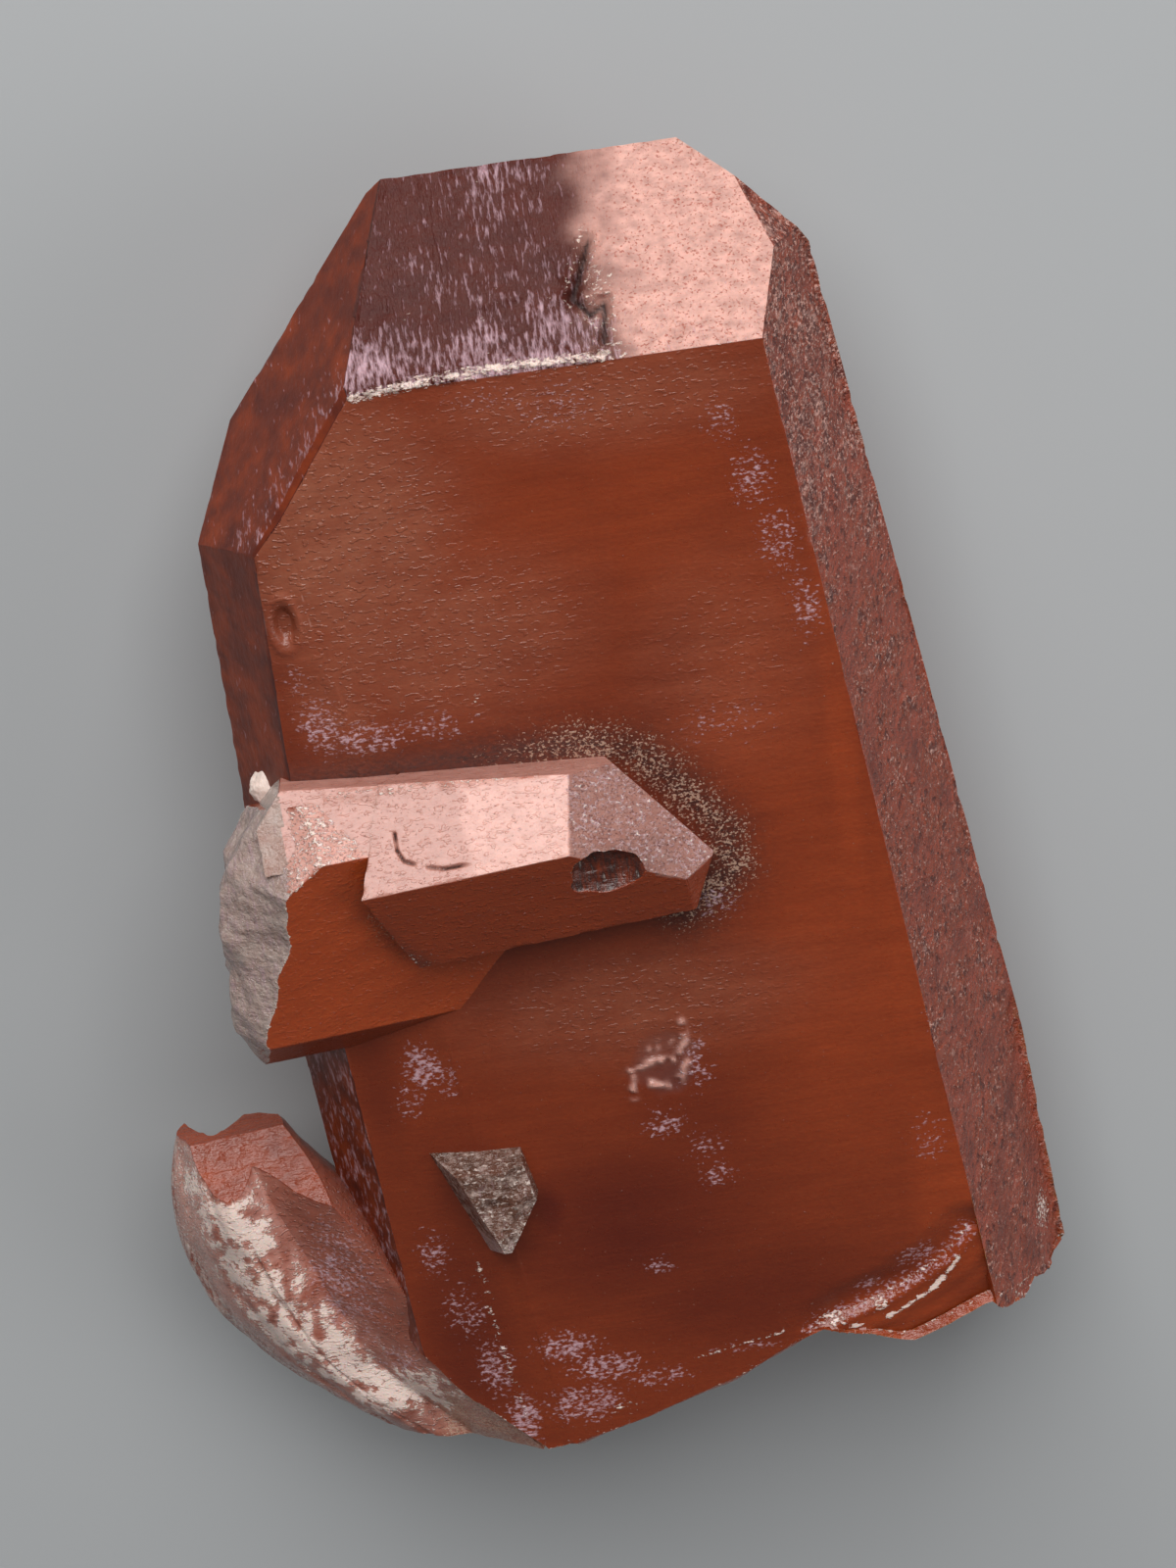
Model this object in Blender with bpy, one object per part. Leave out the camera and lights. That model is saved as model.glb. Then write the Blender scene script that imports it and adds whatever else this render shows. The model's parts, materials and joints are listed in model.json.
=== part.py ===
"""Quartz crystal cluster.

One broad, flattened quartz crystal with a rhombohedral tip and a broken base. A smaller
crystal has grown across its front face, next to a broken side crystal, and a broken stub
and a curved splinter have grown onto it near the base. All are grown together, so they
are joined in one solid.

The broad crystal lies on its flat back face: +Z is up, +Y runs along the crystal toward
its tip, and the origin is on the back face, near the middle.
"""

import math

import bmesh
import bpy
from mathutils import Matrix, Vector, noise

MM = 0.001

# Driving dimensions, in millimetres and degrees.
THICKNESS = 17.0
RHOMB_RISE = 38.2
RIGHT_FLARE = 5.6
BACK_RIGHT_FLARE = 8.8
LOWER_LEFT_TAPER = -3.8
CROSSING_HEIGHT = 17.0
CROSSING_TURN = 4.5
BROKEN_TURN = -4.7
BROKEN_DIP = 17.0
RAW_HALF_SIZE = 60.0

# A crystal face is (azimuth, rise, distance). The azimuth turns round the crystal's long
# axis, from its upper side toward its right as seen from the base. The rise tilts the face
# toward the tip. The distance is measured from the crystal's own centre to the face.
BROAD_CENTRE = (0.0, 0.0, 0.0)
BROAD_FACES = [
    (0, 0, THICKNESS),
    (60, RIGHT_FLARE, 21.1),
    (120, BACK_RIGHT_FLARE, 11.85),
    (120, 3.0, 14.3),
    (180, 0, 0),
    (-120, 0, 10.5),
    (-60, 0, 21.8),
    (-60, LOWER_LEFT_TAPER, 22.2),
    (-120, LOWER_LEFT_TAPER, 10.6),
    (0, RHOMB_RISE, 27.85),
    (60, RHOMB_RISE, 31.4),
    (120, RHOMB_RISE, 22.4),
    (180, RHOMB_RISE, 12.25),
    (-120, 6.7, 12.15),
    (-120, 35.7, 19.65),
    (-66.8, 33.6, 25.95),
    # A narrow bevel between the left tip face and the front face, and a slightly sloping
    # strip along the lower left of the front face.
    (-37.6, 23.8, 27.0),
    (-6, -0.8, 18.1),
]

CROSSING_CENTRE = (0.0, -2.1, CROSSING_HEIGHT)
CROSSING_FACES = [
    (-38, 0, 4.65),
    (22, 0, 4.65),
    (82, 0, 5.4),
    (-98, 8, 3.6),
    (180, 0, 5.0),
    (-32.2, 27.6, 3.65),
    (22, 40, 6.3),
    (-117, 53, 2.95),
    (69, 62, 6.6),
    (174, -57.4, 7.7),
]
CROSSING_TAIL_FACES = [
    (-38, 0, 4.6),
    (-98, 8, 3.55),
    (80, 0, -1.8),
    (180, 0, 5.0),
    (0, 90, -9.5),
    (0, -90, 17.3),
    (-98, -45, 15.2),
]

BROKEN_CENTRE = (-16.0, -6.0, 17.0)
BROKEN_FACES = [
    (12.4, 0, 3.45),
    (-50.5, 0, 7.5),
    (47, 0, 5.7),
    (100, 0, 7.6),
    (-110, 0, 6.9),
    (180, 0, 3.6),
    (10, -48, 5.1),
    (180, -20, 5.4),
    (0, 90, 14.0),
]

STUB_CENTRE = (-8.2, -23.8, THICKNESS)
STUB_FACES = [
    (0, 6, 1.9),
    (6, 74, 2.5),
    (88, 12, 2.2),
    (80, -30, 2.1),
    (-62, -18, 1.75),
    (0, -68, 3.4),
    (180, 0, 2.0),
]

# The rough base runs through these (x, y) points on the front face. It leans toward the
# tip behind them.
BASE_LINE = [
    (-30.0, -33.5), (-15.5, -33.0), (-13.5, -34.4), (-11.8, -37.1), (-7.5, -41.3),
    (0.6, -38.7), (8.5, -35.9), (13.9, -37.2), (18.4, -35.2), (20.4, -38.1),
    (22.6, -39.1), (24.0, -38.3), (30.0, -36.0),
]
BASE_LEAN = 0.24
BASE_BEVEL = (-6.0, 8.5, 1.4)

# The splinter's outer and inner edges, and the heights of its front along them, from its
# free top end down to the base.
SPLINTER_OUTER = [(-24.9, -20.2), (-26.3, -25.4), (-26.0, -31.2), (-23.4, -36.6), (-18.4, -41.2)]
SPLINTER_INNER = [(-20.8, -20.0), (-17.6, -24.0), (-14.4, -29.6), (-12.2, -35.4), (-7.8, -41.2)]
SPLINTER_OUTER_HEIGHT = [10.6, 10.2, 9.6, 9.0, 9.2]
SPLINTER_INNER_HEIGHT = [12.6, 15.0, 15.8, 16.2, 16.4]
SPLINTER_THICKNESS = [3.4, 5.2, 6.4, 7.0, 7.4]
SPLINTER_TOP = [
    ((-22.5, -23.4, 13.6), (-0.08, 0.7, 0.7)),
    ((-23.0, -21.2, 11.0), (-0.1, 1.0, -0.1)),
]

# Small marks on the faces: (x, y, z) and size.
CHIP_IN_RIDGE = (0.7, -3.3, 22.1, 2.0)
DROPLET_PIT = (-14.5, 11.4, 17.3, 0.75)
ETCH_MARK = (1.9, -17.1, 1.8, 2.1)

# The crust along the foot of the tip: its y and z, and the x and size of each lump in it.
CRUST_LINE = (23.55, THICKNESS - 0.1)
CRUST_LUMPS = [(-7.9, 0.50), (-6.6, 0.42), (-5.2, 0.48), (-3.6, 0.36), (-1.9, 0.44), (0.2, 0.55)]


def spot(point):
    """A point given in millimetres."""
    return Vector(point) * MM


def axis_frame(turn, dip, start):
    """A crystal's right, forward and up directions, for an axis turned from a start
    direction in the floor's plane and dipped below it."""
    forward = Matrix.Rotation(math.radians(turn), 3, "Z") @ Vector(start)
    up = Vector((0, 0, 1))
    if dip:
        forward = Matrix.Rotation(math.radians(dip), 3, up.cross(forward)) @ forward
    up = (up - up.dot(forward) * forward).normalized()
    return forward.cross(up), forward, up


def face_normal(frame, azimuth, rise):
    right, forward, up = frame
    turn, lift = math.radians(azimuth), math.radians(rise)
    level = math.sin(turn) * right + math.cos(turn) * up
    return math.cos(lift) * level + math.sin(lift) * forward


def add_object(name, shape, collection, hidden=True):
    """Make an object of a bmesh. A hidden one only cuts or joins."""
    bmesh.ops.recalc_face_normals(shape, faces=shape.faces)
    mesh = bpy.data.meshes.new(name)
    shape.to_mesh(mesh)
    shape.free()
    thing = bpy.data.objects.new(name, mesh)
    collection.objects.link(thing)
    if hidden:
        thing.hide_render = True
        thing.display_type = "WIRE"
    return thing


def keep_behind(shape, point, normal):
    """Cut away what lies in front of a plane, and close the cut with one flat face."""
    parts = shape.verts[:] + shape.edges[:] + shape.faces[:]
    cut = bmesh.ops.bisect_plane(
        shape, geom=parts, plane_co=point, plane_no=normal, clear_outer=True
    )
    rim = [item for item in cut["geom_cut"] if isinstance(item, bmesh.types.BMEdge)]
    if rim:
        bmesh.ops.contextual_create(shape, geom=rim)


def crystal(name, frame, centre, faces, collection, hidden=True):
    """A raw block cut back to each crystal face in turn."""
    shape = bmesh.new()
    bmesh.ops.create_cube(shape, size=2 * RAW_HALF_SIZE * MM)
    for azimuth, rise, distance in faces:
        normal = face_normal(frame, azimuth, rise)
        keep_behind(shape, spot(centre) + normal * distance * MM, normal)
    return add_object(name, shape, collection, hidden)


def between(points, place):
    """Read a smooth curve through evenly spaced values, with place from 0 to 1."""
    last = len(points) - 1
    step = min(int(place * last), last - 1)
    part = place * last - step
    before, start = points[max(step - 1, 0)], points[step]
    end, after = points[step + 1], points[min(step + 2, last)]
    leave, arrive = (end - before) / 2, (after - start) / 2
    turn = 2 * (start - end) + leave + arrive
    bend = 3 * (end - start) - 2 * leave - arrive
    return ((turn * part + bend) * part + leave) * part + start


def line_height(line, x):
    """The y of a broken line at x."""
    for (left, low), (right, high) in zip(line, line[1:]):
        if x <= right:
            return low + (high - low) * (x - left) / (right - left)
    return line[-1][1]


def broken_relief(x, y, grain):
    """The uneven height of a fresh break: broad shells, with finer steps on them."""
    shells = noise.noise(Vector((x, y, 0.0)) / (5 * grain))
    steps = noise.noise(Vector((x + 40, y - 25, 7.0)) / (1.7 * grain))
    ripple = math.sin(math.hypot(x - 14, y + 6) * 1.9 / grain)
    return grain * (0.95 * shells + 0.42 * steps + 0.1 * ripple)


def break_block(name, place, columns, rows, cell, depth, height, collection):
    """A block whose one side is an uneven break, to cut a crystal with. The side spans
    columns by rows cells about its own origin, and height(x, y) gives its relief."""
    shape = bmesh.new()
    bmesh.ops.create_grid(
        shape, x_segments=columns, y_segments=rows, size=0.5 * MM,
        matrix=Matrix.Diagonal((columns * cell, rows * cell, 1, 1)),
    )
    side = bmesh.ops.extrude_face_region(shape, geom=shape.faces[:])["geom"]
    for item in side:
        if isinstance(item, bmesh.types.BMVert):
            item.co.z = depth * MM
            item.tag = True
    for vert in shape.verts:
        if not vert.tag:
            vert.co.z = height(vert.co.x / MM, vert.co.y / MM) * MM
    shape.transform(place)
    return add_object(name, shape, collection)


def placed(centre, across, along, out):
    """A place whose own axes point across, along and out."""
    turn = Matrix((across, along, out)).transposed().to_4x4()
    return Matrix.Translation(spot(centre)) @ turn


def base_break(collection):
    def height(x, y):
        front = THICKNESS / 2 - y
        break_y = line_height(BASE_LINE, x) + BASE_LEAN * front
        left, right, width = BASE_BEVEL
        if left < x < right:
            break_y += 0.8 * max(0.0, width - front) - 1.2
        return -break_y + broken_relief(x, y, 1.3) * min(1.0, 0.35 + front / 6)

    across, along, out = Vector((1, 0, 0)), Vector((0, 0, 1)), Vector((0, -1, 0))
    place = placed((0, 0, THICKNESS / 2), across, along, out)
    return break_block("base_break", place, 44, 18, 1.4, RAW_HALF_SIZE + 5, height, collection)


def broken_end(frame, collection):
    def height(x, y):
        lean = 0.33 * max(y, 0) ** 1.45 + 0.35 * max(-y, 0)
        corners = 0.9 * max(-x - 4.2, 0) + 0.7 * max(x - 5.2, 0)
        return 4.6 - lean - corners + broken_relief(x + 9, y + 3, 0.65)

    right, forward, up = frame
    place = placed(BROKEN_CENTRE, right, up, -forward)
    return break_block("broken_end", place, 20, 16, 1.1, 12, height, collection)


def stub_break(collection):
    def height(x, y):
        return 1.75 - 0.12 * x + broken_relief(x - 4, y + 11, 0.55)

    place = placed(STUB_CENTRE, Vector((1, 0, 0)), Vector((0, 1, 0)), Vector((0, 0, 1)))
    return break_block("stub_break", place, 12, 14, 0.8, 6, height, collection)


def splinter(collection):
    """A curved slab that hangs off the broad crystal's lower left."""
    outer = [Vector(point) for point in SPLINTER_OUTER]
    inner = [Vector(point) for point in SPLINTER_INNER]
    shape = bmesh.new()
    bmesh.ops.create_cube(shape, size=1.0)
    bmesh.ops.subdivide_edges(shape, edges=shape.edges, cuts=9, use_grid_fill=True)
    for vert in shape.verts:
        side, drop, depth = vert.co.x + 0.5, 0.5 - vert.co.y, 0.5 - vert.co.z
        low, high = between(outer, drop), between(inner, drop)
        flat = low.lerp(high, side)
        front = between(SPLINTER_OUTER_HEIGHT, drop) * (1 - side)
        front += between(SPLINTER_INNER_HEIGHT, drop) * side
        front += 2.3 * math.sin(math.pi * min(side / 0.62, 1)) * (1 - 0.35 * drop)
        front += broken_relief(flat.x, flat.y, 0.7) * (0.5 + 0.5 * depth)
        thick = between(SPLINTER_THICKNESS, drop) * (0.55 + 0.45 * math.sin(math.pi * side * 0.7))
        flat -= (high - low).normalized() * 0.9 * math.sin(math.pi * depth) * (0.5 - side)
        vert.co = spot((flat.x, flat.y, front - thick * depth))
    for point, normal in SPLINTER_TOP:
        keep_behind(shape, spot(point), Vector(normal).normalized())
    return add_object("splinter", shape, collection)


def pebble(name, centre, size, stretch, collection):
    """A rough little lump, to add or to press into a face."""
    shape = bmesh.new()
    bmesh.ops.create_icosphere(shape, subdivisions=2, radius=size * MM)
    for vert in shape.verts:
        wobble = 1 + 0.22 * noise.noise(vert.co / (0.6 * size * MM) + spot(centre) * 300)
        vert.co = Vector(a * b for a, b in zip(vert.co * wobble, stretch)) + spot(centre)
    return add_object(name, shape, collection)


def etch_mark(collection):
    """A shallow corroded patch in the front face, with an uneven rim."""
    x, y, half_width, half_length = ETCH_MARK
    shape = bmesh.new()
    bmesh.ops.create_cone(
        shape, cap_ends=True, segments=14, radius1=MM, radius2=1.15 * MM, depth=2.4 * MM
    )
    for vert in shape.verts:
        rim = Vector((vert.co.x, vert.co.y)).normalized() * 2
        reach = 1 + 0.3 * noise.noise(rim.to_3d() + Vector((3, 1, 0)))
        vert.co.x = vert.co.x * half_width * reach + (x + 0.08 * vert.co.y / MM) * MM
        vert.co.y = vert.co.y * half_length * reach + y * MM
        vert.co.z += (THICKNESS + 0.75) * MM
    return add_object("etch_mark", shape, collection)


def apply_boolean(target, tool, operation):
    modifier = target.modifiers.new(tool.name, "BOOLEAN")
    modifier.operation = operation
    modifier.solver = "EXACT"
    modifier.object = tool


def quartz_material():
    material = bpy.data.materials.new("rust red quartz")
    material.use_nodes = True
    shader = material.node_tree.nodes["Principled BSDF"]
    shader.inputs["Base Color"].default_value = (0.235, 0.040, 0.016, 1.0)
    shader.inputs["Roughness"].default_value = 0.38
    shader.inputs["Metallic"].default_value = 0.0
    shader.inputs["IOR"].default_value = 1.54
    return material


def build():
    for thing in list(bpy.data.objects):
        bpy.data.objects.remove(thing, do_unlink=True)
    cluster_parts = bpy.data.collections.new("quartz crystal cluster")
    tools = bpy.data.collections.new("cutters")
    for collection in (cluster_parts, tools):
        bpy.context.scene.collection.children.link(collection)

    along_y = axis_frame(0, 0, (0, 1, 0))
    crossing = axis_frame(CROSSING_TURN, 0, (1, 0, 0))
    slanting = axis_frame(BROKEN_TURN, BROKEN_DIP, (1, 0, 0))

    cluster = crystal(
        "quartz_cluster", along_y, BROAD_CENTRE, BROAD_FACES, cluster_parts, hidden=False
    )
    cluster.data.materials.append(quartz_material())
    apply_boolean(cluster, base_break(tools), "DIFFERENCE")

    crossing_crystal = crystal("crossing_crystal", crossing, CROSSING_CENTRE, CROSSING_FACES, tools)
    crossing_tail = crystal("crossing_tail", crossing, CROSSING_CENTRE, CROSSING_TAIL_FACES, tools)
    broken_crystal = crystal("broken_crystal", slanting, BROKEN_CENTRE, BROKEN_FACES, tools)
    apply_boolean(broken_crystal, broken_end(slanting, tools), "DIFFERENCE")
    stub = crystal("stub", along_y, STUB_CENTRE, STUB_FACES, tools)
    apply_boolean(stub, stub_break(tools), "DIFFERENCE")
    for grown in (crossing_crystal, crossing_tail, broken_crystal, stub, splinter(tools)):
        apply_boolean(cluster, grown, "UNION")

    *centre, size = CHIP_IN_RIDGE
    apply_boolean(cluster, pebble("ridge_chip", centre, size, (1.35, 0.95, 0.65), tools), "DIFFERENCE")
    *centre, size = DROPLET_PIT
    apply_boolean(cluster, pebble("droplet_pit", centre, size, (0.8, 1.6, 0.8), tools), "DIFFERENCE")
    apply_boolean(cluster, etch_mark(tools), "DIFFERENCE")
    for number, (x, size) in enumerate(CRUST_LUMPS, start=1):
        lump = pebble(f"crust_{number}", (x, *CRUST_LINE), size, (1.8, 0.8, 0.7), tools)
        apply_boolean(cluster, lump, "UNION")
    return cluster


build()
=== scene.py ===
"""Rust-red quartz crystal cluster: the fine surface and finish of every crystal in it.

Sizes are in millimetres in the part's own frame: +Y runs along the broad crystal toward its
tip, +X to the right across its front face, and +Z up, out of that face.
"""

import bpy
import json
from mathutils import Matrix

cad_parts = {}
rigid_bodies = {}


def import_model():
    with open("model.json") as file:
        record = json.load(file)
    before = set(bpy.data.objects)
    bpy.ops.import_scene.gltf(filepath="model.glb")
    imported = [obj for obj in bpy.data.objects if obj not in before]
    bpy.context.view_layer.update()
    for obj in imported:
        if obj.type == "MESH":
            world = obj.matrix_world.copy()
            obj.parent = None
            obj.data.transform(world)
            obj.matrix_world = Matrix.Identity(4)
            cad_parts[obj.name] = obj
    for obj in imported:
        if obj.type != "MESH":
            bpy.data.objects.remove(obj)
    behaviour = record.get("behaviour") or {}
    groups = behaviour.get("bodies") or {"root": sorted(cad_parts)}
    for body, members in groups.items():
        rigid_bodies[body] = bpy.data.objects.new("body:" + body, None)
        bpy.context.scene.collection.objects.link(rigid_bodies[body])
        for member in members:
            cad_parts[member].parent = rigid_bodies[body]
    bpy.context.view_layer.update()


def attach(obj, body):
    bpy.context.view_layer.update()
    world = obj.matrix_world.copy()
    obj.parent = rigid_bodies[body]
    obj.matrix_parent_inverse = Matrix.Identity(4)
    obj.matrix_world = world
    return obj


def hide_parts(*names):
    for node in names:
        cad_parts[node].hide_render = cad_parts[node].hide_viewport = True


bl_info = {
    "name": "Quartz Crystal Cluster",
    "version": (1, 0, 0),
    "blender": (4, 5, 0),
    "location": "3D View > Sidebar > Quartz",
    "description": "A rust-red quartz crystal with smaller crystals grown on it",
    "category": "Add Mesh",
}

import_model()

import json
import math

import bpy
import numpy as np
from bpy.props import FloatProperty, FloatVectorProperty, PointerProperty
from mathutils import Matrix, Vector, noise

MM = 0.001
NODE = "quartz_cluster"

# The broad crystal. A face is (azimuth, rise, distance): the azimuth turns round the
# crystal's axis from its upper side to its right, the rise tilts the face toward the tip,
# and the distance is measured from the crystal's own centre.
THICKNESS = 17.0
RHOMB_RISE = 38.2
RAW_HALF_SIZE = 60.0
BROAD_CENTRE = (0.0, 0.0, 0.0)
BROAD_FACES = {
    "front": (0, 0, THICKNESS),
    "right": (60, 5.6, 21.1),
    "back_right": (120, 8.8, 11.85),
    "back_right_low": (120, 3.0, 14.3),
    "back": (180, 0, 0),
    "back_left": (-120, 0, 10.5),
    "left": (-60, 0, 21.8),
    "left_low": (-60, -3.8, 22.2),
    "back_left_low": (-120, -3.8, 10.6),
    "tip_front": (0, RHOMB_RISE, 27.85),
    "tip_right": (60, RHOMB_RISE, 31.4),
    "tip_back_right": (120, RHOMB_RISE, 22.4),
    "tip_back": (180, RHOMB_RISE, 12.25),
    "back_left_high": (-120, 6.7, 12.15),
    "tip_back_left": (-120, 35.7, 19.65),
    "tip_left": (-66.8, 33.6, 25.95),
    "tip_bevel": (-37.6, 23.8, 27.0),
    "front_strip": (-6, -0.8, 18.1),
}

SUGARY_FACES = ("right", "tip_right", "back_right", "tip_back_right", "back_right_low")
ETCHED_FACES = ("tip_front", "tip_left", "tip_bevel", "tip_back", "tip_back_left", "left", "left_low")

# The crystal that has grown across the front face, and the tail that it stands on.
CROSSING_TURN = 4.5
CROSSING_CENTRE = (0.0, -2.1, 17.0)
CROSSING_FACES = {
    "upper": (-38, 0, 4.65),
    "lower": (22, 0, 4.65),
    "foot": (82, 0, 5.4),
    "back": (-98, 8, 3.6),
    "under": (180, 0, 5.0),
    "tip_upper": (-32.2, 27.6, 3.65),
    "tip_lower": (22, 40, 6.3),
    "tip_back": (-117, 53, 2.95),
    "tip_foot": (69, 62, 6.6),
    "left_end": (174, -57.4, 7.7),
}
CROSSING_TAIL_FACES = {
    "upper": (-38, 0, 4.6),
    "back": (-98, 8, 3.55),
    "split": (80, 0, -1.8),
    "under": (180, 0, 5.0),
    "right_end": (0, 90, -9.5),
    "left_end": (0, -90, 17.3),
    "corner": (-98, -45, 15.2),
}

# The broken side crystal, which dips to the right into the front face.
BROKEN_TURN = -4.7
BROKEN_DIP = 17.0
BROKEN_CENTRE = (-16.0, -6.0, 17.0)
BROKEN_FACES = {
    "front": (12.4, 0, 3.45),
    "sparkling": (-50.5, 0, 7.5),
    "strip": (47, 0, 5.7),
    "foot": (100, 0, 7.6),
    "back": (-110, 0, 6.9),
    "under": (180, 0, 3.6),
    "notch": (10, -48, 5.1),
    "undercut": (180, -20, 5.4),
    "right_end": (0, 90, 14.0),
}

STUB_CENTRE = (-8.2, -23.8, THICKNESS)
STUB_FACES = {
    "top": (0, 6, 1.9),
    "back": (6, 74, 2.5),
    "right": (88, 12, 2.2),
    "lower_right": (80, -30, 2.1),
    "left": (-62, -18, 1.75),
    "lower": (0, -68, 3.4),
    "under": (180, 0, 2.0),
}

# The rough base runs through these (x, y) points on the front face, and leans toward the
# tip behind them. Between the first two numbers of the bevel its front edge is bevelled.
BASE_LINE = [
    (-30.0, -33.5), (-15.5, -33.0), (-13.5, -34.4), (-11.8, -37.1), (-7.5, -41.3),
    (0.6, -38.7), (8.5, -35.9), (13.9, -37.2), (18.4, -35.2), (20.4, -38.1),
    (22.6, -39.1), (24.0, -38.3), (30.0, -36.0),
]
BASE_LEAN = 0.24
BASE_BEVEL = (-6.0, 8.5, 1.4)

# The splinter's outer and inner edges, the heights along them and how thick it is, from its
# free top end down to the base. Two planes, each a point and the way out of it, cut its top.
SPLINTER_OUTER = [(-24.9, -20.2), (-26.3, -25.4), (-26.0, -31.2), (-23.4, -36.6), (-18.4, -41.2)]
SPLINTER_INNER = [(-20.8, -20.0), (-17.6, -24.0), (-14.4, -29.6), (-12.2, -35.4), (-7.8, -41.2)]
SPLINTER_OUTER_HEIGHT = [10.6, 10.2, 9.6, 9.0, 9.2]
SPLINTER_INNER_HEIGHT = [12.6, 15.0, 15.8, 16.2, 16.4]
SPLINTER_THICKNESS = [3.4, 5.2, 6.4, 7.0, 7.4]
SPLINTER_TOP = [
    ((-22.5, -23.4, 13.6), (-0.08, 0.7, 0.7)),
    ((-23.0, -21.2, 11.0), (-0.1, 1.0, -0.1)),
]

# The chip out of the crossing crystal's ridge and the white chip are (x, y, z, size). The pit
# and the scar in the front face are (x, y, half width, half length).
CHIP_IN_RIDGE = (0.7, -3.3, 22.1, 2.0)
WHITE_CHIP = (-17.0, 0.9, 13.6, 0.95)
DROPLET_PIT = (-14.5, 11.4, 0.62, 1.15)
SCAR = (1.9, -17.2, 1.75, 2.1)

# The camera looks down on the cluster from the tip's side, a little turned. Its distance is
# to the front face.
CAMERA_TILT = 25.0
CAMERA_ROLL = 8.1
CAMERA_DISTANCE = 250.0
CAMERA_LENS = 108.17
CAMERA_NEAR = 10.0

# The floor lies a hair below the cluster, so that the two don't share a plane.
FLOOR_SIZE = 3000.0
FLOOR_GAP = 0.05

# Each light's name, the way to it, its distance and size in millimetres, and its power.
LIGHTS = [
    ("key softbox", (0.0, 0.78, 0.62), 500, 460, 3.15),
    ("right fill", (0.85, -0.1, 0.5), 700, 500, 1.25),
]
ROOM = "#616263"

# Soft oval patches on the front face, and of chips on the right side: (x, y, half width, half
# length, strength).
DUST_ON_FRONT = [
    (0.9, 21.6, 3.0, 2.0, 0.40), (-2.6, 22.4, 3.0, 1.0, 0.36), (9.3, 19.4, 1.2, 1.6, 0.48),
    (10.6, 16.0, 1.5, 2.3, 0.50), (11.6, 12.2, 1.5, 2.4, 0.52), (12.6, 8.4, 1.0, 2.6, 0.55),
    (-13.6, 5.4, 1.5, 2.2, 0.58), (-11.0, 4.4, 2.6, 1.1, 0.62), (-7.4, 4.6, 2.4, 1.1, 0.50),
    (-14.4, 8.2, 0.9, 1.2, 0.45), (-11.2, -15.6, 1.3, 1.8, 0.62), (-12.2, -17.6, 1.0, 1.6, 0.50),
    (-9.9, -16.6, 0.9, 1.7, 0.48), (1.5, -21.0, 1.6, 1.3, 0.50), (3.6, -22.8, 1.6, 1.2, 0.46),
    (4.0, -24.8, 1.3, 0.9, 0.55), (0.3, -29.9, 1.2, 0.8, 0.50), (3.7, -17.4, 1.3, 2.6, 0.48),
    (-12.2, -27.4, 1.2, 2.0, 0.52), (-11.0, -31.4, 1.5, 2.4, 0.52), (-9.8, -35.4, 1.3, 2.6, 0.60),
    (-8.6, -39.0, 1.2, 2.4, 0.66), (-5.6, -34.4, 2.3, 1.3, 0.62), (-3.6, -36.0, 2.6, 1.2, 0.62),
    (-5.0, -38.2, 2.6, 1.6, 0.64), (-0.6, -37.2, 2.4, 0.9, 0.55), (4.2, -36.0, 3.0, 0.5, 0.45),
    (5.8, -8.0, 1.8, 1.2, 0.48), (7.4, 2.4, 3.6, 1.8, 0.36), (16.8, -16.4, 0.5, 1.5, 0.50),
    (15.8, -24.2, 1.4, 1.8, 0.44), (14.6, -31.8, 1.8, 1.1, 0.55), (11.6, -33.2, 1.0, 0.6, 0.60),
]
DEEP_AND_SHADOW_ON_FRONT = [
    (-1.0, -27.5, 7.0, 5.0, 0.75), (5.0, -32.5, 8.0, 3.4, 0.60), (-11.0, -33.0, 2.6, 7.0, 0.65),
    (-9.5, -23.5, 2.2, 3.6, 0.40), (-13.6, -16.0, 1.2, 5.0, 0.35), (-2.5, -6.9, 9.0, 1.7, 0.70),
    (-15.2, 9.0, 0.9, 6.0, 0.30), (3.0, -21.0, 3.5, 4.0, 0.35), (-6.0, -11.0, 6.0, 2.0, 0.30),
    (4.6, -4.0, 5.5, 5.0, 0.35), (6.0, 6.0, 5.0, 3.0, 0.22), (4.4, 21.4, 0.22, 0.25, 1.00),
    # The last two patches are a painted shadow beside the stub.
    (-5.4, -25.6, 1.1, 2.0, 0.95), (-6.4, -27.4, 1.6, 1.0, 0.60),
]
GLOW_ON_FRONT = [
    (9.5, 2.0, 4.0, 12.0, 0.40), (12.5, -14.0, 4.5, 12.0, 0.50), (16.2, -27.0, 1.8, 6.0, 0.60),
    (13.6, -2.0, 1.0, 16.0, 0.55), (-1.5, 14.5, 5.0, 4.0, 0.26), (5.5, 15.0, 4.0, 7.0, 0.30),
    (13.0, -35.0, 4.0, 1.6, 0.65), (15.4, -13.0, 1.9, 13.0, 0.50), (17.6, -28.0, 1.9, 7.0, 0.70),
]
HAZE_ON_FRONT = [
    (-11.0, 16.0, 6.0, 8.0, 0.85), (-7.0, 9.5, 8.0, 5.0, 0.60), (3.0, 21.5, 9.0, 2.6, 0.50),
    (-12.0, 8.0, 3.0, 5.0, 0.55), (1.0, -13.5, 9.0, 3.4, 0.45), (8.0, 6.0, 5.0, 6.0, 0.30),
]
CRUMBS_ON_FRONT = [
    (9.4, -35.2, 1.2, 0.5, 0.62), (12.2, -34.6, 0.5, 0.5, 0.70), (3.2, -17.0, 0.9, 1.8, 0.22),
    (-2.9, -38.9, 1.3, 0.5, 0.50), (-5.2, 5.8, 0.25, 0.25, 0.80),
]
CHIPS_ON_RIGHT = [(22.6, -34.2, 0.7, 1.4, 0.62), (20.4, -36.6, 0.8, 0.8, 0.50)]

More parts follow.
